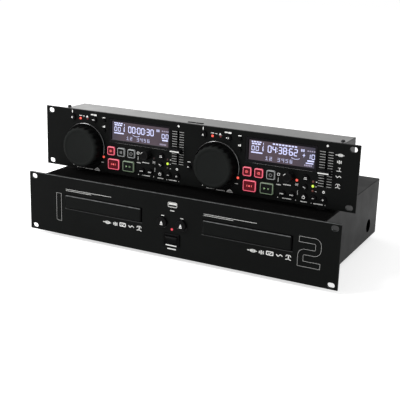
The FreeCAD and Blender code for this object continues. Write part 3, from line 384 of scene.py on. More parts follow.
control_screws += [cross_screw((x, y, -2.1), DOWN, 2.6, 1.6, 7) for x in (-190, 190) for y in (14, 50)]
for node, skins, body in (("drive_screws", drive_screws, "drive_unit"),
                          ("controller_screws", control_screws, "controller_unit")):
    piece = put(node + "_cross", skins, screw_steel, body, 50)
    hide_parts(node)

# The two top screws stand on washers: a ring of that section, (radius, height), round each.
turn = turns(SCREW_SIDES)
washer = loft([np.stack([r * np.cos(turn), TOP_SCREW_Y + r * np.sin(turn), 0 * turn + TOP + z], -1)
               for r, z in ((2.7, 0), (2.7, WASHER - 0.1), (2.6, WASHER), (1.5, WASHER), (1.5, 0))], True)
washer_zinc = finish("washer zinc", (0.2, 0.2, 0.2), 0.35, 2200, 0.004, metallic=1.0)
washer_piece = put("controller_washers", [moved([washer], x)[0] for x in TOP_SCREWS], washer_zinc)
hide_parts("controller_screws")

# ------------------------ boards and power supply
# Green circuit boards carry black chips, switches and jacks. The power supply has a
# lacquered transformer, a bare heat sink and two rows of capacitors.


def recolour(material, unit, boxes, colour, metal=False):
    """Inside those boxes of the unit the material takes another colour, and is metal if that is said."""
    tree = material.node_tree
    mask = maths(tree, "MAXIMUM", *[within(tree, unit, low, high) for low, high in boxes])
    tinge(material, "Base Color", mask, colour)
    if metal:
        tree.links.new(mask, tree.nodes["Principled BSDF"].inputs["Metallic"])


BOARD_GREEN = (0.02, 0.1, 0.035)
board_black = finish("board parts", (0.015, 0.015, 0.016), 0.4, 1500, 0.01)
recolour(board_black, DRIVE, [((-206, 183, 13.9), (121, 247, 15.7)), ((-41, 11.9, 35), (41, 13.7, 85))],
         BOARD_GREEN)
recolour(board_black, CONTROL, [((-209, 11.9, 4), (209, 13.7, 84))], BOARD_GREEN)
coat(board_black, "main_board", "control_board")
supply = finish("supply parts", (0.02, 0.02, 0.022), 0.4, 1500, 0.01)
recolour(supply, DRIVE, [((-39, 43, 11.9), (39, 173, 13.7))], BOARD_GREEN)
recolour(supply, DRIVE, [((-28.1, 59.9, 13.7), (28.1, 100.1, 49))], (0.3, 0.29, 0.26), True)
coat(supply, "power_supply")

# ------------------------ disc drives and trays
# Each loader is a moulded black frame with guide rails. Its tray is finely grained plastic
# with a recess for the disc and a flush face that fills the opening in the panel. The face is
# painted black along its lower edge and its right end, as painted shade beside the gaps, and its
# bevels are lighter, a painted highlight.
TRAYS = (-112.5, 112.5)     # the middles of the two trays
# Near black for painted shade in and beside the gaps.
PAINTED_GAP_SHADE = (0.0003, 0.0003, 0.0003)
loader_plastic = finish("loader plastic", (0.014, 0.014, 0.015), 0.5, 1600, 0.015)
coat(loader_plastic, "disc_drive_1", "disc_drive_2")
tray_plastic = finish("tray plastic", (0.0042, 0.0047, 0.0045), 0.45, 2800, 0.012,
                      worn=(0.16, 0.165, 0.165), bevels=1.0, specular=0.045)
# Painted shade along the tray face's lower edge and right end.
recolour(tray_plastic, DRIVE, [((x + left, -3, 40.5), (x + 66, 3.6, top))
                               for x in TRAYS for left, top in ((-66, 43.0), (62.3, 62.5))], PAINTED_GAP_SHADE)
coat(tray_plastic, "disc_tray_1", "disc_tray_2")

# ------------------------ sockets and switch body
# Fittings of the two walls: a USB shell of tinned steel, a black switch body, nickel-plated
# phono barrels with coloured insulators, two small jacks and a black mains inlet.
MIDDLE_X = 1.2              # the middle line of the fittings between the two trays
fitting_plastic = finish("fitting plastic", (0.002, 0.002, 0.0022), 0.35, 1800, 0.008, specular=0.04)
recolour(fitting_plastic, DRIVE, [((-6, 0.2, 70), (9, 15, 79)), ((-160, 240, 22), (-70, 263, 60)),
                                  ((149, 230, 26), (171, 251, 42))], (0.55, 0.54, 0.5), True)
recolour(fitting_plastic, DRIVE, [((-6, 0.9, 71), (9, 15, 78.4))], (0.06, 0.06, 0.06))
# Two bands of the switch body beside the rocker are painted black: painted shade.
recolour(fitting_plastic, DRIVE, [((x - 2, -3, 15), (x + 2, 1, 34)) for x in (-9.6, 12.0)], PAINTED_GAP_SHADE)
coat(fitting_plastic, "sockets")


def around(x, z, radius, y, turn):
    """Points at those distances and angles from a line along Y through x, z."""
    return np.stack(np.broadcast_arrays(x + radius * np.cos(turn), y, z + radius * np.sin(turn)), -1)


def lathe(x, z, profile, sides=32):
    """A form turned about a line along Y through x, z: its profile is a list of (radius, y)."""
    return loft(around(x, z, *np.hsplit(np.array(profile, float), 2), turns(sides)))


def rounded(width, height, corner, steps=6):
    """Outline in x, z of a rectangle about 0, 0 whose corners are quarter circles, anticlockwise."""
    quarter = np.linspace(0, np.pi / 2, steps + 1) + np.arange(4)[:, None] * np.pi / 2
    middles = np.array([(1, 1), (-1, 1), (-1, -1), (1, -1)]) * (width / 2 - corner, height / 2 - corner)
    points = middles[:, None] + corner * np.stack([np.cos(quarter), np.sin(quarter)], -1)
    points = points.reshape(-1, 2)
    return points[np.linalg.norm(points - np.roll(points, 1, 0), axis=1) > 1e-6]


def stood(outline, y):
    """The points of an outline in x, z at that y."""
    return np.insert(outline, 1, y, axis=1)


def plate(outline, front, back, at=(0, 0)):
    """A flat plate of that outline in x, z, from y = front to y = back."""
    outline = np.asarray(outline, float) + at
    return loft([stood(outline, y) for y in (front, back)])


usb_plastic = finish("usb tongue", (0.75, 0.75, 0.73), 0.35, 1500, 0.004)
TONGUE_W, TONGUE_HIGH, TONGUE_Z, CONTACT_THICK = 11.2, 2.3, 75.9, 0.12
put("usb_tongue", [plate(rounded(TONGUE_W, TONGUE_HIGH, 0.2), 0.35, 12, (MIDDLE_X, TONGUE_Z))],
    usb_plastic, "drive_unit")
contact_gold = finish("contact gold", (0.72, 0.5, 0.2), 0.25, 2500, 0.002, metallic=1.0)
under = TONGUE_Z - (TONGUE_HIGH + CONTACT_THICK) / 2 + 0.02
contacts = [plate(rounded(1.1, CONTACT_THICK, 0.02), 1.2, 9, (MIDDLE_X + x, under))
            for x in (-3.5, -1.2, 1.2, 3.5)]
put("usb_contacts", contacts, contact_gold, "drive_unit")

insulator_section = [(3.5, 261.9), (3.5, 262.25), (3.3, 262.4), (2.3, 262.4), (2.05, 262.1),
                     (2.0, 259.0), (0.05, 259.0), (0.05, 258.6), (1.9, 258.6), (1.95, 261.9)]
for colour_name, colour, places in (("white", (0.7, 0.7, 0.68), ((-132, 52), (-78, 52))),
                                    ("red", (0.5, 0.02, 0.02), ((-150, 52), (-96, 52))),
                                    ("orange", (0.6, 0.2, 0.02), ((-150, 30), (-96, 30)))):
    insulator = finish("insulator " + colour_name, colour, 0.4, 1500, 0.005)
    put("phono_insulators_" + colour_name, [lathe(x, z, insulator_section) for x, z in places],
        insulator, "drive_unit")

# ------------------------ lower front panel
# A three-millimetre steel rack panel, powder coated satin black, with white screen-printed
# marks: the deck numbers in outline, plain symbols and short index lines. The lower lip of each
# tray opening is painted lighter as a painted highlight, its upper and right edges are painted
# black as shade beside the gap, and its bevels take a painted highlight.
panel_paint = finish("panel paint", (0.0042, 0.0046, 0.0044), 0.42, 3000, 0.008,
                     worn=(0.16, 0.165, 0.165), bevels=1.0, specular=0.038)
# Painted highlight along the lower lip of each tray opening.
recolour(panel_paint, DRIVE, [((x - 65.6, -0.2, 40.2), (x + 65.6, 3.2, 41.8)) for x in TRAYS],
         (0.05, 0.051, 0.051))
# Painted shade along the upper and right edges of each tray opening.
recolour(panel_paint, DRIVE, [((x + left, -0.2, low), (x + 66.2, 0.9, high)) for x in TRAYS
                              for left, low, high in ((64.6, 41.4, 61.8), (-65.6, 61.8, 63.0))], PAINTED_GAP_SHADE)
coat(panel_paint, "drive_front_panel")
INK = (-0.05, 0.03)         # front and back of a printed mark, from the face it is printed on


def ribbon(path, width, front, back, closed=False, at=(0, 0)):
    """A flat line of even width along a path in x, z, from y = front to y = back. Each point is
    pushed half the width to both sides along the mitre, the mean of its two runs' normals."""
    path = np.asarray(path, float) + at
    ahead = np.roll(path, -1, 0) - path
    if not closed:
        ahead[-1] = ahead[-2]
    ahead /= np.linalg.norm(ahead, axis=1, keepdims=True)
    behind = np.roll(ahead, 1, 0)
    if not closed:
        behind[0] = ahead[0]
    mitre = (ahead + behind)[:, ::-1] * (-1, 1)
    mitre /= np.linalg.norm(mitre, axis=1, keepdims=True)
    reach = width / 2 / (mitre * ahead[:, ::-1] * (-1, 1)).sum(1, keepdims=True)
    left, right = path + mitre * reach, path - mitre * reach
    corners = [(left, front), (right, front), (right, back), (left, back)]
    return loft(np.stack([stood(side, y) for side, y in corners], 1), closed)


def frame_ring(width, height, corner, profile, at=(0, 0)):
    """A rounded-rectangle frame whose section is a closed list of (inset, y) carried round it."""
    return loft([stood(rounded(width - 2 * inset, height - 2 * inset, max(corner - inset, 0.05)) + at, y)
                 for inset, y in profile], True)


def bent(corners, radii, steps=8):
    """A path through corners in x, z, each rounded to its radius: the arc starts and ends
    r tan(turn / 2) from the corner and turns evenly between."""
    corners = [np.array(corner, float) for corner in corners]
    path = [corners[0]]
    for before, here, after, radius in zip(corners, corners[1:], corners[2:], radii):
        came, goes = here - before, after - here
        came, goes = came / np.linalg.norm(came), goes / np.linalg.norm(goes)
        turn = math.atan2(came[0] * goes[1] - came[1] * goes[0], came @ goes)
        if radius == 0:
            path.append(here)
            continue
        start = here - came * radius * math.tan(abs(turn) / 2)
        side = np.array([-came[1], came[0]]) * math.copysign(1, turn)
        for angle in np.linspace(0, abs(turn), steps + 1):
            path.append(start + radius * (came * math.sin(angle) + side * (1 - math.cos(angle))))
    return np.array(path + [corners[-1]])


def widened(path, width):
    """The closed outline of a line of that width along a path: out along one side and back."""
    rings = ribbon(path, width, 0, 1)[0].reshape(-1, 4, 3)
    return np.concatenate([rings[:, 0], rings[::-1, 1]])[:, [0, 2]]


def bar(x, z, width, height):
    """A printed bar with its middle at x, z."""
    return plate(rounded(width, height, min(width, height) * 0.2, 2), *INK, (x, z))


def index_line(x, z, width, height=1.2):
    """A printed row of short blocks of uneven length, with its middle at x, z."""
    lengths = np.resize([0.62, 1.0, 0.78, 0.9, 0.56, 1.1], max(2, round(width / 1.15)))
    lengths = lengths / lengths.sum() * width
    ends = x - width / 2 + np.cumsum(lengths)
    return [bar(end - length / 2, z, length * 0.76, height) for end, length in zip(ends, lengths)]


def disc(x, z, radius):
    """A printed dot."""
    return plate(rounded(2 * radius, 2 * radius, radius, 5), *INK, (x, z))


def line(points, width, closed=False, at=(0, 0)):
    """A printed line through points."""
    return ribbon(points, width, *INK, closed, at)


def hoop(x, z, radius, width, height=None):
    """A printed ring, or an oval of that height."""
    outline = rounded(2 * radius, 2 * radius, radius, 6) * (1, (height or 2 * radius) / (2 * radius))
    return line(outline, width, True, (x, z))


two = bent([(186.4, 60.2), (212.7, 60.2), (212.7, 43.8), (189.3, 43.8), (189.3, 27.5), (216.2, 27.5)],
           [5.3, 5.3, 5.3, 0])
one = bent([(-184.4, 40), (-184.4, 62.5), (-192.9, 62.5), (-192.9, 21), (-184.4, 21), (-184.4, 40)],
           [0, 0, 3, 0])[:-1]
outlines = [line(widened(two, 7.4), 0.36, True), line(one, 0.36, True)]
usb_ring = [(0, INK[1]), (0, INK[0]), (0.45, INK[0]), (0.45, INK[1])]
prints = [frame_ring(14.4, 7.5, 2.4, usb_ring, (MIDDLE_X, 74.9)), bar(MIDDLE_X, 11.4, 13.5, 1.6),
          bar(-13.8, 57.6, 4.6, 1.1), bar(16.2, 57.6, 4.6, 1.1)] + index_line(MIDDLE_X, 66.4, 6.5, 1.3)
for start in (-176, 49):
    prints += [bar(start + width / 2, z, width, 0.45) for z, width in ((70.2, 78), (68.2, 44))]
# Five icons: an oval on a line, a row of bars, a box with a tick, a wave, and a post under an arch.
icons = [[hoop(0.8, 0, 3.3, 0.8, 2.8), bar(0, 0, 11.4, 0.9)],
         [bar(-2.4, 0, 1.4, 2.8), bar(-0.2, 0, 1.4, 4.6), bar(2.2, 0, 1.4, 3.6), bar(0, 0, 6.2, 0.7)],
         [line(rounded(7.6, 3.8, 0.4, 3), 1.1, True), line([(-1.8, 0.4), (-0.4, -1), (2, 1)], 0.7)],
         [line([(-3.7, 0.9), (-1.4, -1.2), (1.2, 1.1), (3.7, -0.5)], 0.9)],
         [line([(-3, 0.6), (-2, 2.4), (2, 2.4), (3, 0.6)], 0.8), bar(0.2, 0.1, 1.3, 4.4),
          line([(-3.2, -2.6), (0, -1.8), (3.2, -3)], 0.9)]]
for start, spread in ((-104.8, 1.045), (122, 1)):
    for x, z, skins in zip((0, 13.3, 25.1, 38.5, 51), (32, 32, 32.8, 32.5, 32.2), icons):
        prints += moved(skins, start + x * spread, 0, z, 1.2)
white_ink = finish("white ink", (0.82, 0.82, 0.8), 0.55, 4000, 0.002, 0.05)
put("drive_panel_print", prints, white_ink, "drive_unit")
outline_ink = finish("outline ink", (0.5, 0.5, 0.49), 0.55, 4000, 0.002, 0.05)
put("deck_outline_print", outlines, outline_ink, "drive_unit")

# Rear marks, seen from behind: a line over each pair of jacks, deck numbers and a wave by the inlet.
REAR_FACE = 255.02
rear = [line([(-140, 66.5), (-142, 66.5), (-142, 64.5), (-140, 64.5), (-140, 62.5), (-142, 62.5)], 0.5),
        line([(154, 48), (157, 51), (163, 47), (166, 50)], 0.8),
        bar(-87, 64.5, 0.6, 4.2), bar(-15, 51, 40, 0.6), bar(49, 48, 24, 0.6)]
for x in (-141, -87):
    rear += [bar(x, 60.5, 26, 0.6), bar(x - 9, 38.5, 3.0, 0.6)]
rear += [hoop(x, 56, 1.6, 0.5) for x in (-30, 0)] + [disc(x, 52, 1.0) for x in (40, 58)]
put("drive_rear_print", moved(rear, y=REAR_FACE), white_ink, "drive_unit")

# ------------------------ eject buttons
# Two satin moulded buttons that slide in holes in the lower panel, each marked with a triangle
# over a bar.


def wedge(x, z, width, height, quarters=0):
    """A printed triangle: its point is up, or turned by that many quarter turns anticlockwise."""
    outline = np.array([(-width / 2, -height / 2), (width / 2, -height / 2), (0, height / 2)])
    for _ in range(quarters):
        outline = outline[:, ::-1] * (-1, 1)
    return plate(outline, *INK, (x, z))


eject_plastic = finish("eject plastic", (0.003, 0.003, 0.0032), 0.38, 2200, 0.006,
                       worn=(0.02, 0.02, 0.02), specular=0.05)
EJECT_FACE = -4
for number, x in ((1, -13.8), (2, 16.2)):
    coat(eject_plastic, "eject_button_%d" % number)
    put("eject_mark_%d" % number, moved([wedge(0, 48.8, 4.0, 4.2), bar(0, 45.5, 4.4, 1.2)], x, EJECT_FACE),
        white_ink, "eject_button_%d" % number)

# ------------------------ power rocker
# A satin black rocker in a frame that snaps into the panel. A white line is printed on the
# frame below it.
rocker_plastic = finish("rocker plastic", (0.0015, 0.0016, 0.0016), 0.3, 1500, 0.003, 0.1, 0.04,
                        specular=0.035)
# Two bands down the rocker's sides are painted near black: painted shade.
recolour(rocker_plastic, DRIVE, [((x - 0.9, -8, 16), (x + 0.9, 12, 33)) for x in (-7, 9.4)],
         (0.0002, 0.0002, 0.0002))
coat(rocker_plastic, "power_rocker")
FRAME_FACE = -1.8
put("switch_frame_line", moved([bar(MIDDLE_X, 17.0, 17, 1.5)], y=FRAME_FACE), white_ink, "drive_unit")

# ------------------------ controller casing
# A shallow box of steel sheet: its walls are phosphated dark grey, and its top is left as bare
# zinc plate with a satin sheen.
plated_steel = finish("plated steel", (0.05, 0.05, 0.051), 0.42, 900, 0.004, 0.08, 0.06, specular=0.1)
recolour(plated_steel, CONTROL, [((-215.0, 2.9, 85.2), (215.0, 60.4, 86.0))], (0.185, 0.185, 0.183), True)
coat(plated_steel, "controller_chassis")

# Black rubber edging lines the two slots in the top, as painted shade in and round them: that
# section, (inset, height over the top), is carried round a rectangle with rounded corners. A strip of
# the same rubber closes each slot: a dark sheet in place of the shade inside it.
rings = [np.insert(rounded(12.0 - 2 * inset, 4.8 - 2 * inset, 1.4 - inset), 2, z, axis=1)
         for inset, z in ((0, 0), (0, 0.3), (0.3, 0.5), (1.0, 0.5), (1.3, 0.2), (1.3, -0.7), (0.6, -0.7))]
slot_shade_strip = [np.insert(rounded(10.0, 2.8, 0.6), 2, z, axis=1) for z in (-0.6, -0.1)]
SLOTS, SLOT_Y = (-8.8, 3.7), 23.0
slot_shade_edging = [skin for x in SLOTS for skin in moved([loft(rings, True), loft(slot_shade_strip)], x, SLOT_Y, TOP)]
slot_shade_rubber = finish("slot shade edging", (0.002, 0.002, 0.002), 0.8, 1800, 0.006, specular=0.02)
put("top_slot_shade_edging", slot_shade_edging, slot_shade_rubber)

# ------------------------ controller panel
# The upper rack panel has the same coat. The glossy rings round the jog wheels are pressed
# into it and painted near black, as painted shade round the wheels, and its marks are
# screen-printed in white.
control_paint = finish("control panel paint", (0.0042, 0.0046, 0.0044), 0.42, 3000, 0.008,
                       worn=(0.05, 0.051, 0.051), specular=0.038)
DECKS = {1: -107.75, 2: 107.75}
# The rings are painted near black: painted shade round the jog wheels.
recolour(control_paint, CONTROL, [((deck - 99, -2.5, 0), (deck - 29, -0.05, 71)) for deck in DECKS.values()],
         (0.001, 0.001, 0.001))
coat(control_paint, "controller_panel")

deck_marks = [bar(*place) for place in (
    (-86.9, 84.2, 1.2, 4.0), (-72.4, 79.7, 4.6, 0.9), (-66.9, 79.3, 3.0, 0.8), (-52.0, 82.9, 4.8, 1.8),
    (-46.8, 82.7, 4.4, 2.4), (-32.0, 80.6, 4.6, 1.3), (-33.1, 67.4, 1.7, 2.2), (-30.9, 67.8, 1.7, 3.0),
    (-34.6, 14.5, 5.4, 0.9), (25.9, 28.8, 0.5, 6.0), (52.3, 26.1, 4.6, 0.6), (53.9, 15.6, 0.45, 6.5),
    (79.0, 33.4, 1.9, 1.0), (78.6, 27.0, 1.2, 0.8), (78.8, 20.6, 1.6, 0.7), (-85.4, 4.4, 1.6, 0.8),
    (-43.8, 1.2, 9.4, 1.1), (-43.8, 3.0, 3.4, 0.8), (73.6, 4.3, 0.6, 1.3), (92.6, 4.3, 0.6, 1.3))]
deck_marks += [wedge(-61.0, 79.6, 3.9, 3.1), wedge(27.9, 37.3, 1.4, 1.6, 3),
               disc(90.5, 82.6, 1.5), disc(26.6, 5.0, 0.6), disc(52.0, 5.0, 0.6),
               hoop(89.4, 21.4, 1.3, 0.9), hoop(25.9, 36.2, 1.7, 0.7),
               line([(50.6, 24.3), (54.0, 27.9)], 0.7), line([(50.6, 27.9), (54.0, 24.3)], 0.7),
               line([(-47.4, 2.4), (-43.8, 4.9), (-40.2, 2.4)], 0.9)]
for place in ((27.0, 22.3, 6.4), (38.6, 23.7, 11.4), (39.3, 5.0, 13.0), (63.2, 4.6, 9.4), (83.0, 4.4, 13.0),
              (-73.0, 2.3, 12.6, 1.4), (-57.8, 1.6, 13.4)):
    deck_marks += index_line(*place)
# The long thin grey line under each display window is a painted highlight of the window's lower edge; the
# rest are the speed slider's scale ticks.
scale = [bar(30, 46.5, 84, 0.12)]
for z in np.linspace(29.0, 74.6, 14):
    scale += [bar(84.8, z, 7.8, 0.7), bar(95.8, z, 6.8, 0.7)]
marks, scales_and_highlights = [bar(0.3, 34.5, 4.6, 1.0)], []
for deck in DECKS.values():
    marks += moved(deck_marks, deck)
    scales_and_highlights += moved(scale, deck)
icons[2] = [bar(0.6, 2.2, 3.6, 0.6), bar(0.8, 0.4, 0.7, 3.4), bar(0, -2, 6.4, 0.7)]
for z, skins in zip((72.7, 63.8, 53.9, 44.6, 32.4), icons):
    marks += moved(skins, 215.2, 0, z)
put("controller_panel_print", marks, white_ink)
grey_ink_and_highlight = finish("grey ink and highlight", (0.36, 0.36, 0.35), 0.55, 4000, 0.002, 0.05)
put("slider_scale_and_highlight_print", scales_and_highlights, grey_ink_and_highlight)

# The outer edge of each ring is a thin trim of polished black chrome with a slanted front: that
# section, (radius, y), is carried along an arc, in two lengths that leave out the lamp and the foot.
JOG_X, JOG_Z = -64.3, 35.2
chrome = finish("black chrome", (0.22, 0.22, 0.22), 0.2, 2500, 0.001, 0.05, 0.03, metallic=1.0)
section = np.array([(33.6, -1.4), (33.6, -2.1), (33.75, -2.2), (34.4, -1.65), (34.45, -1.4)])
trim = [loft([around(JOG_X, JOG_Z, *section.T, angle) for angle in np.radians(np.arange(low, high, 1.5))])
        for low, high in ((-68, -26.5), (-15.5, 248))]
put("jog_ring_trims", moved(trim, DECKS[1]) + moved(trim, DECKS[2]), chrome)

# ------------------------ displays
# Each display is a glossy black frame that stands in the panel's window, a negative liquid
# crystal lit pale violet from behind, and its segments.
CELL_Y = 1.3                # the crystal lies this far behind the panel's face
CELL_LEFT, CELL_TOP, CELL_W, CELL_H = -18.3, 77.3, 93.7, 26.9
WINDOW_MIDDLE = (27.25, 64.0)
window_black = finish("window frame", (0.005, 0.0045, 0.006), 0.22, 1500, 0.002, specular=0.06)


def lit(name, colour, light, roughness=0.3, spread=0.25, scale=60.0, front=None, **more):
    """A surface that glows: its light drifts by the spread over the size of the piece, and is kept to
    what lies before the plane y = front, in metres, if that is given."""
    material = finish(name, colour, roughness, 2000, 0.002, **more)
    tree = material.node_tree
    drift = fit(tree, noise(tree, object_place(tree), scale, 2.0), 0.3, 0.7)
    mixed = mix(tree, drift, *([channel * k for channel in light] for k in (1 - spread, 1 + spread)))
    if front is not None:
        mixed = mix(tree, fit(tree, object_place(tree, 1), front + 0.0005, front), (0, 0, 0), mixed)
    feed(tree, tree.nodes["Principled BSDF"], {"Emission Color": mixed, "Emission Strength": 1.0})
    return material


cell_glass = lit("crystal cell", (0.02, 0.016, 0.022), (0.07, 0.05, 0.061), 0.25, 0.16, 40.0, specular=0.1)
# Its light falls off and turns blue toward the right end of display 2 and the left end of display 1.
tree = cell_glass.node_tree
for inner, outer, light in ((150, 180, (0.036, 0.037, 0.054)), (-108, -128, (0.045, 0.04, 0.058))):
    fade = fit(tree, object_place(tree, 0), CONTROL[0] + inner / 1000, CONTROL[0] + outer / 1000)
    tinge(cell_glass, "Emission Color", fade, light)
segment_light = lit("lit segments", (0.3, 0.3, 0.34), (0.5, 0.53, 0.9), 0.4, 0.1, 90.0)
text_light = lit("lit text", (0.2, 0.2, 0.25), (0.36, 0.38, 0.62), 0.4, 0.1, 90.0)
faint_light = lit("faint segments", (0.1, 0.09, 0.12), (0.26, 0.23, 0.34), 0.4, 0.1, 90.0)
SEGMENT = (CELL_Y - 0.06, CELL_Y + 0.04)
STROKES = {"a": ((0, 1), (1, 1)), "b": ((1, 1), (1, 0.5)), "c": ((1, 0.5), (1, 0)), "d": ((0, 0), (1, 0)),
           "e": ((0, 0), (0, 0.5)), "f": ((0, 0.5), (0, 1)), "g": ((0, 0.5), (1, 0.5))}
DIGITS = ("abcdef", "bc", "abged", "abgcd", "fgbc", "afgcd", "afgedc", "abc", "abcdefg", "abcdfg")
DOTS = ("757577", "262227", "717747", "717117", "557111", "747117", "747577", "711122", "757577", "757117")


def segments(text, x, z, width, height, stroke, pitch):
    """A row of seven-stroke numbers from the left, bottom corner x, z: each stroke is a bar
    between two corners of the number's box, a little shorter than its side. : is two dots."""
    skins = []
    for sign in text:
        if sign == ":":
            skins += [plate(rounded(stroke, stroke, 0.1, 2), *SEGMENT, (x + stroke / 2, z + height * k))
                      for k in (0.3, 0.7)]
            continue
        for name in DIGITS[int(sign)]:
            ends = np.array(STROKES[name]) * (width - stroke, height - stroke)
            run = (ends[1] - ends[0]) / np.linalg.norm(ends[1] - ends[0]) * stroke * 0.16
            ends = np.array([ends[0] + run, ends[1] - run]) + (x + stroke / 2, z + stroke / 2)
            skins.append(ribbon(ends, stroke, *SEGMENT))
        x += pitch
    return skins


def dot_numbers(text, x, z, dot, pitch):
    """Numbers of square dots, three wide and six high: each row's octal digit says which dots are lit."""
    return [plate(rounded(dot * 1.15, dot * 0.8, 0.05, 1), *SEGMENT,
                  (x + place * pitch + column * dot * 1.5, z + (5 - row) * dot))
            for place, sign in enumerate(text) if sign != " "
            for row, code in enumerate(DOTS[int(sign)])
            for column in range(3) if int(code) >> (2 - column) & 1]


def blocks(*places):
    """Blocks on the crystal: (left edge, depth below its top, width, height) of each."""
    return [plate(rounded(width, height, 0.15, 2), *SEGMENT, (x + width / 2, -down - height / 2))
            for x, down, width, height in places]


# What a crystal shows is placed from its left, top corner.
arc = np.array([(34 + 12 * t, -16.6 - 1.5 * math.sin(math.pi * t)) for t in np.linspace(0, 1, 9)])
bright_blocks = blocks(
    *((x, 1.2, width, 1.6) for x, width in ((3.2, 2.4), (6.4, 3.4), (10.6, 2.8), (14.2, 3.2))),
    *((x, 3.8, width, 1.9) for x, width in ((3.8, 3.6), (8.4, 2.6), (12.0, 4.2))), (3.0, 15.6, 16.4, 1.7),
    *((19.9, down, 0.8, height) for down, height in ((2.2, 2.4), (6.0, 2.4), (9.8, 3.6))),
    (82.4, 17.0, 9.2, 1.9))
track_bar = blocks((77.0, 9.2, 0.9, 4.6), (75.7, 11.0, 3.4, 0.9), (80.4, 20.4, 10.4, 1.4),
                   *((33.4 + 4.4 * k, 1.0, 3.2, 1.9) for k in range(8)))
text = dot_numbers("12 3456", 24.6, -24.3, 0.86, 5.7) + blocks((73.0, 3.6, 2.2, 3.4), (75.8, 3.6, 2.2, 3.4))
faint = blocks(*((81.8 + 2.9 * k, 4.3, 1.9, 1.6) for k in range(4)),
               *((78.6 + 2.2 * k, 23.0, 1.6, 2.2) for k in range(5)))
for number, time_pairs, box_text, pitch_text, extra, arc_x in (
        (1, ("00", "00", "30"), "001", "00", [], 0), (2, ("04", "38", "62"), "001", "10", track_bar, 26)):
    deck = DECKS[number]
    x, z = np.array(WINDOW_MIDDLE) + (deck, 0)
    # The frame's section steps down from the window's edge to the crystal, then closes behind it.
    window = put("display_frame_%d" % number,
                 [frame_ring(100.4, 33.9, 1.4, [(0, 3), (0, 0.45), (0.25, 0.2), (0.9, 0.2), (1.2, 0.5),
                                                (2.6, 0.62), (3.5, CELL_Y), (3.5, 3)], (x, z)),
                  plate(rounded(102.3, 36.2, 1.0), 3.2, 10.9, (x, z))], window_black)
    crystal = plate(rounded(CELL_W, CELL_H, 0.4), CELL_Y, 2.9,
                    (deck + CELL_LEFT + CELL_W / 2, CELL_TOP - CELL_H / 2))
    glass = put("display_cell_%d" % number, [crystal], cell_glass)
    for piece in (window, glass):
        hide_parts("display_modules")
    bright = bright_blocks + extra + segments(box_text, 3.4, -14.0, 4.6, 6.6, 0.9, 6.0)
    for k, pair in enumerate(time_pairs):
        bright += segments(pair, 26.6 + 15.0 * k, -14.2, 5.5, 9.6, 1.25, 6.6)
    bright += segments(":", 39.7, -13.4, 5.5, 8.0, 1.0, 0) + segments(":", 54.7, -13.4, 5.5, 8.0, 1.0, 0)
    bright += segments(pitch_text, 81.6, -15.6, 4.8, 6.8, 0.95, 6.2)
    bright.append(ribbon(arc + (arc_x, 0), 0.6, *SEGMENT))
    for name, skins, light in (("bright", bright, segment_light), ("text", text, text_light),
                               ("faint", faint, faint_light)):
        put("display_%s_%d" % (name, number), moved(skins, deck + CELL_LEFT, 0, CELL_TOP), light)

# ------------------------ jog wheels
# A fluted wheel moulded in one piece with a soft-touch coat: a slightly sunk face inside a
# narrow rim, a fluted side, and a hollow underside round the shaft to its encoder.
FLUTES, FLUTE_REACH, FLUTE_RADIUS, FLUTE_BLEND = 20, 31.3, 3.1, 0.35
jog_coat = finish("soft touch", (0.0085, 0.0095, 0.009), 0.62, 3200, 0.012, 0.12, 0.06,
                  worn=(0.02, 0.02, 0.02), specular=0.06)
# Everything behind the rim, the wheel's side and underside, is painted near black: painted shade on the side
# away from the light.
recolour(jog_coat, CONTROL, [((-230, -12.2, 0), (230, 9, 80))], (0.002, 0.002, 0.002))


def fluted_wheel(x, z, profile):
    """A turned profile of (radius, y) with scoops round its side: at angle t from a scoop's middle
    its wall is reach cos t - sqrt(scoop^2 - reach^2 sin^2 t) from the axis, and the radius is the
    smooth least of that and the profile's, -k log(e^(-a / k) + e^(-b / k))."""
    turn = turns(FLUTES * 20)
    across = (turn + np.pi / FLUTES) % (2 * np.pi / FLUTES) - np.pi / FLUTES
    inside = np.maximum(FLUTE_RADIUS ** 2 - (FLUTE_REACH * np.sin(across)) ** 2, 0)
    wall = FLUTE_REACH * np.cos(across) - np.sqrt(inside) + np.where(inside > 0, 0, 9)
    rings = []
    for radius, y in profile:
        swept = np.full_like(turn, radius)
        if radius > FLUTE_REACH - FLUTE_RADIUS - 1.5:
            least = np.minimum(radius, wall)
            swept = least - FLUTE_BLEND * np.log(np.exp((least - radius) / FLUTE_BLEND)
                                                 + np.exp((least - wall) / FLUTE_BLEND))
        rings.append(around(x, z, swept, y, turn))
    return loft(rings)


jog_profile = [(0.05, -16.0), (22.6, -16.0), (23.2, -16.1), (23.7, -16.45), (24.2, -16.5), (26.0, -16.5),
               (27.0, -16.25), (27.9, -15.5), (28.6, -14.5), (29.2, -13.3), (29.5, -12.4), (29.6, -11.0),
               (29.6, -8.0), (29.6, -4.0), (29.6, -1.6), (29.2, -1.05), (28.4, -1.0), (24.4, -1.0),
               (24.4, -13.3), (6.0, -13.3), (6.0, -1.0), (3.0, -1.0), (3.0, 8.4), (0.05, 8.4)]
for number, deck in DECKS.items():
    wheel = put("jog_wheel_fluted_%d" % number, [fluted_wheel(JOG_X + deck, JOG_Z, jog_profile)],
                jog_coat, "jog_wheel_%d" % number, 40)
    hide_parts("jog_wheel_%d" % number)

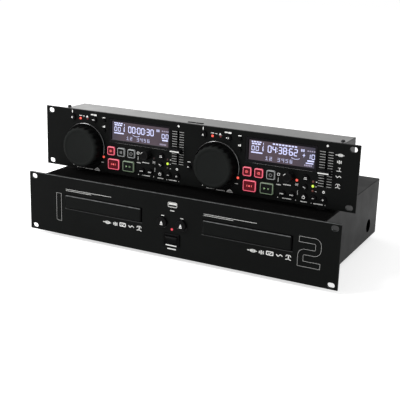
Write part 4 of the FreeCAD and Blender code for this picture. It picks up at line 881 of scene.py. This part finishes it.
# ------------------------ speed sliders and track knobs
# Moulded slider caps with a white line along the ridge, and fluted knobs with a rimmed face
# and a white arc on the upper left of the rim, a painted highlight where light falls.
slider_plastic = finish("slider plastic", (0.004, 0.004, 0.0044), 0.35, 2000, 0.006,
                        worn=(0.03, 0.03, 0.03), specular=0.08)
knob_plastic = finish("knob plastic", (0.002, 0.002, 0.0022), 0.3, 2000, 0.006,
                      worn=(0.04, 0.04, 0.04), specular=0.05)
SLIDER, KNOB, RIM_HIGHLIGHT_RADIUS = (90.1, 48.4), (42.0, 36.0), 5.5
rim_highlight_arc = RIM_HIGHLIGHT_RADIUS * np.array([(math.cos(t), math.sin(t)) for t in np.linspace(1.9, 2.6, 7)])
for number, deck in DECKS.items():
    coat(slider_plastic, "pitch_slider_%d" % number)
    coat(knob_plastic, "track_knob_%d" % number)
    # The white arc on the knob's rim is a painted highlight.
    index = ribbon(rim_highlight_arc + KNOB, 0.7, -12.04, -11.8)
    put("knob_index_%d" % number, moved([index], deck), white_ink, "track_knob_%d" % number)
    ridge = plate(rounded(14.5, 1.5, 0.2, 2), -10.25, -9.4, SLIDER)
    put("slider_line_%d" % number, moved([ridge], deck), white_ink, "pitch_slider_%d" % number)

# ------------------------ round buttons
# Moulded black buttons that slide in holes in the upper panel, with a plain white symbol printed
# on the cap of each.
button_rubber = finish("button plastic", (0.0025, 0.0025, 0.0027), 0.4, 2200, 0.008, 0.15, 0.05,
                       worn=(0.012, 0.012, 0.012), specular=0.04)
CAP = -2.2                  # the caps' face
symbols = {                 # the cap's middle and what is printed on it
    "source_button": (-86.0, 76.4, [wedge(-0.2, 0.2, 2.8, 2.2), bar(0, -1.5, 2.6, 0.5)]),
    "folder_button": (-49.0, 75.9, [disc(-1.4, 0, 0.8),
                                    line([(0.5, 1.3), (1.3, 0.6), (1.3, -0.6), (0.5, -1.3)], 0.7)]),
    "time_button": (-31.6, 76.7, []),
    "program_button": (-31.5, 62.4, []),
    "key_lock_button": (64.2, 36.7, [bar(0, 0.9, 3.4, 0.7), bar(0, -0.9, 4.4, 0.8)]),
    "speed_button": (63.4, 24.4, [line([(-1.8, 0.9), (1.2, -0.7)], 0.9), wedge(1.2, -0.7, 1.8, 1.8, 3)]),
    "track_back_button": (32.8, 11.3, [bar(-2.3, 0, 0.5, 1.9), wedge(-0.9, 0, 2.0, 1.9, 1),
                                       wedge(1.1, 0, 2.0, 1.9, 1)]),
    "track_forward_button": (46.0, 11.3, [wedge(-1.1, 0, 2.0, 1.9, 3), wedge(0.9, 0, 2.0, 1.9, 3),
                                          bar(2.3, 0, 0.5, 1.9)]),
    "tap_button": (63.2, 11.4, [line(rounded(3.4, 2.8, 0.5, 2), 0.7, True, (0, -0.5)),
                                wedge(0, 1.9, 2.6, 1.4)]),
    "bend_down_button": (76.1, 11.4, [bar(0, 0, 3.0, 0.7)]),
    "bend_up_button": (89.6, 11.4, [bar(0, 0, 2.8, 0.7), bar(0, 0, 0.7, 2.8)]),
}
coat(button_rubber, "relay_button")
put("relay_symbol", moved([bar(-0.8, 0, 0.6, 2.0), wedge(0.6, 0, 2.0, 1.8, 3)], 0.3, CAP, 27.8),
    white_ink, "relay_button")
for number, deck in DECKS.items():
    for name, (x, z, skins) in symbols.items():
        node = "%s_%d" % (name, number)
        coat(button_rubber, node)
        if skins:
            put(node + "_symbol", moved(skins, deck + x, CAP, z), white_ink, node)

# ------------------------ lit keys
# Translucent caps lit from below, each with a dark window set in its middle and a plain
# symbol on the window. Red ones are lit, grey ones are off.
KEY_FRONT = CONTROL[1] - 0.0020     # light leaves a key's front and not its sides
WINDOW_FACE = -2.85
window_red = lit("key window red", (0.006, 0.001, 0.001), (0.09, 0.004, 0.009), 0.3, 0.2, 80.0, specular=0.05)
window_dark = finish("key window dark", (0.003, 0.004, 0.0035), 0.25, 1500, 0.002, specular=0.05)
key_finishes = {            # the cap, its window and its symbol
    "key_lit_red": (lit("key lit red", (0.5, 0.12, 0.16), (0.66, 0.06, 0.11), 0.35, 0.12, 50.0, KEY_FRONT,
                        worn=(1.0, 0.5, 0.55), reach=0.0008), window_red,
                    lit("key symbol red", (0.5, 0.05, 0.05), (0.75, 0.1, 0.11), 0.4, 0.1, 90.0)),
    "key_unlit": (lit("key unlit", (0.3, 0.31, 0.31), (0.02, 0.021, 0.021), 0.4, 0.2, 80.0, KEY_FRONT,
                      worn=(0.9, 0.9, 0.9), reach=0.0008), window_dark,
                  lit("key symbol grey", (0.25, 0.25, 0.25), (0.03, 0.03, 0.03), 0.4, 0.1, 90.0)),
    "key_play": (lit("key play", (0.16, 0.2, 0.15), (0.03, 0.055, 0.02), 0.4, 0.5, 60.0, KEY_FRONT,
                     worn=(0.6, 0.65, 0.58), reach=0.0008), window_dark,
                 lit("key symbol green", (0.2, 0.3, 0.2), (0.14, 0.26, 0.08), 0.4, 0.1, 90.0)),
}
bracket = np.array([(1.3, 1.2), (-1.5, 1.2), (-1.5, -1.2), (1.3, -1.2)])
keys = {                    # the key's middle, its width and height, and its symbol
    "loop_in_key": (-18.4, 34.1, 12.2, 12.3, [line(bracket, 0.7), bar(0.9, 0, 2.6, 0.6)]),
    "loop_out_key": (-1.4, 34.1, 12.2, 12.3, [line(bracket * (-1, 1), 0.7), bar(-0.9, 0, 2.6, 0.6)]),
    "reloop_key": (15.8, 34.1, 12.2, 12.3, [hoop(0, 0, 2.0, 0.5), wedge(2.0, 0.3, 1.4, 1.4, 2)]),
    "cue_key": (-14.1, 14.8, 18.7, 15.2, [bar(-3.2, 0, 0.8, 2.8), disc(0.1, 0, 1.3), bar(3.4, 0, 0.8, 2.8)]),
    "play_key": (10.9, 14.8, 18.7, 15.2, [wedge(-2.6, 0, 2.8, 2.4, 3), bar(1.9, 0, 0.5, 2.2),
                                          bar(3.4, 0, 0.5, 2.2)]),
}
slot_of = {entry["node"]: entry["material_slot"] for entry in frame["record"]["subparts"]}
for number, deck in DECKS.items():
    for name, (x, z, width, height, skins) in keys.items():
        node = "%s_%d" % (name, number)
        cap, window, symbol = key_finishes[slot_of[node]]
        coat(cap, node)
        put(node + "_window", [plate(rounded(width - 2.2, height - 2.4, 1.2, 3), WINDOW_FACE, -2.3,
                                     (deck + x, z))], window, node)
        put(node + "_symbol", moved(skins, deck + x, WINDOW_FACE, z), symbol, node)

# ------------------------ indicator lamps
# Clear or tinted domes over small lamps on the boards behind the panels. A lit one has a
# brighter spot where the lamp sits.
dome = np.array([(1.5, 1.0), (1.5, 0.0), (1.42, -0.3), (1.2, -0.6), (0.85, -0.8), (0.45, -0.9),
                 (0.05, -0.92)])
spot = [(0.95, -0.7), (0.9, -0.94), (0.6, -1.02), (0.3, -1.06), (0.05, -1.07)]
LIT_SWELL = 1.2             # a lit dome is that much larger
lamp_places = {"red": [], "dim_red": [], "amber": [], "green": [], "clear": []}
for deck, third, off in ((DECKS[1], "clear", "clear"), (DECKS[2], "red", "amber")):
    for x, z, colour in ((-72.4, 75.6, "red"), (-60.3, 76.3, "dim_red"), (-32.3, 22.9, "red"),
                         (52.0, 32.0, third), (74.4, 33.2, off), (74.4, 27.2, "green"), (74.4, 20.9, off)):
        lamp_places[colour].append((deck + x, z))
lamp_finishes = {"red": (lit("lamp red", (0.5, 0.03, 0.02), (1.0, 0.12, 0.08), 0.15),
                         lit("lamp red spot", (0.6, 0.3, 0.3), (1.0, 0.5, 0.4), 0.15)),
                 "dim_red": (lit("lamp dim red", (0.08, 0.006, 0.006), (0.06, 0.005, 0.008), 0.15), None),
                 "amber": (lit("lamp amber", (0.03, 0.007, 0.004), (0.06, 0.01, 0.005), 0.15), None),
                 "green": (lit("lamp green", (0.3, 0.4, 0.02), (0.5, 0.72, 0.06), 0.15),
                           lit("lamp green spot", (0.7, 0.8, 0.4), (0.9, 1.0, 0.4), 0.15)),
                 "clear": (finish("lamp clear", (0.03, 0.008, 0.008), 0.15, 1500, 0.002), None)}
for colour, places in lamp_places.items():
    lens, middle = lamp_finishes[colour]
    swell = LIT_SWELL if middle else 1.0
    put("lamps_" + colour, [lathe(x, z, dome * swell, 24) for x, z in places], lens)
    if middle:
        put("lamp_spots_" + colour, [lathe(x, z, spot, 16) for x, z in places], middle)
POWER_LAMP_Z = 39.8
standby = lit("standby red", (0.4, 0.02, 0.03), (0.5, 0.04, 0.06), 0.15)
standby_spot = lit("standby red spot", (0.5, 0.2, 0.2), (0.8, 0.26, 0.28), 0.15)
put("power_lamp", [lathe(MIDDLE_X, POWER_LAMP_Z, dome * LIT_SWELL, 24)], standby, "drive_unit")
put("power_lamp_spot", [lathe(MIDDLE_X, POWER_LAMP_Z, spot, 16)], standby_spot, "drive_unit")
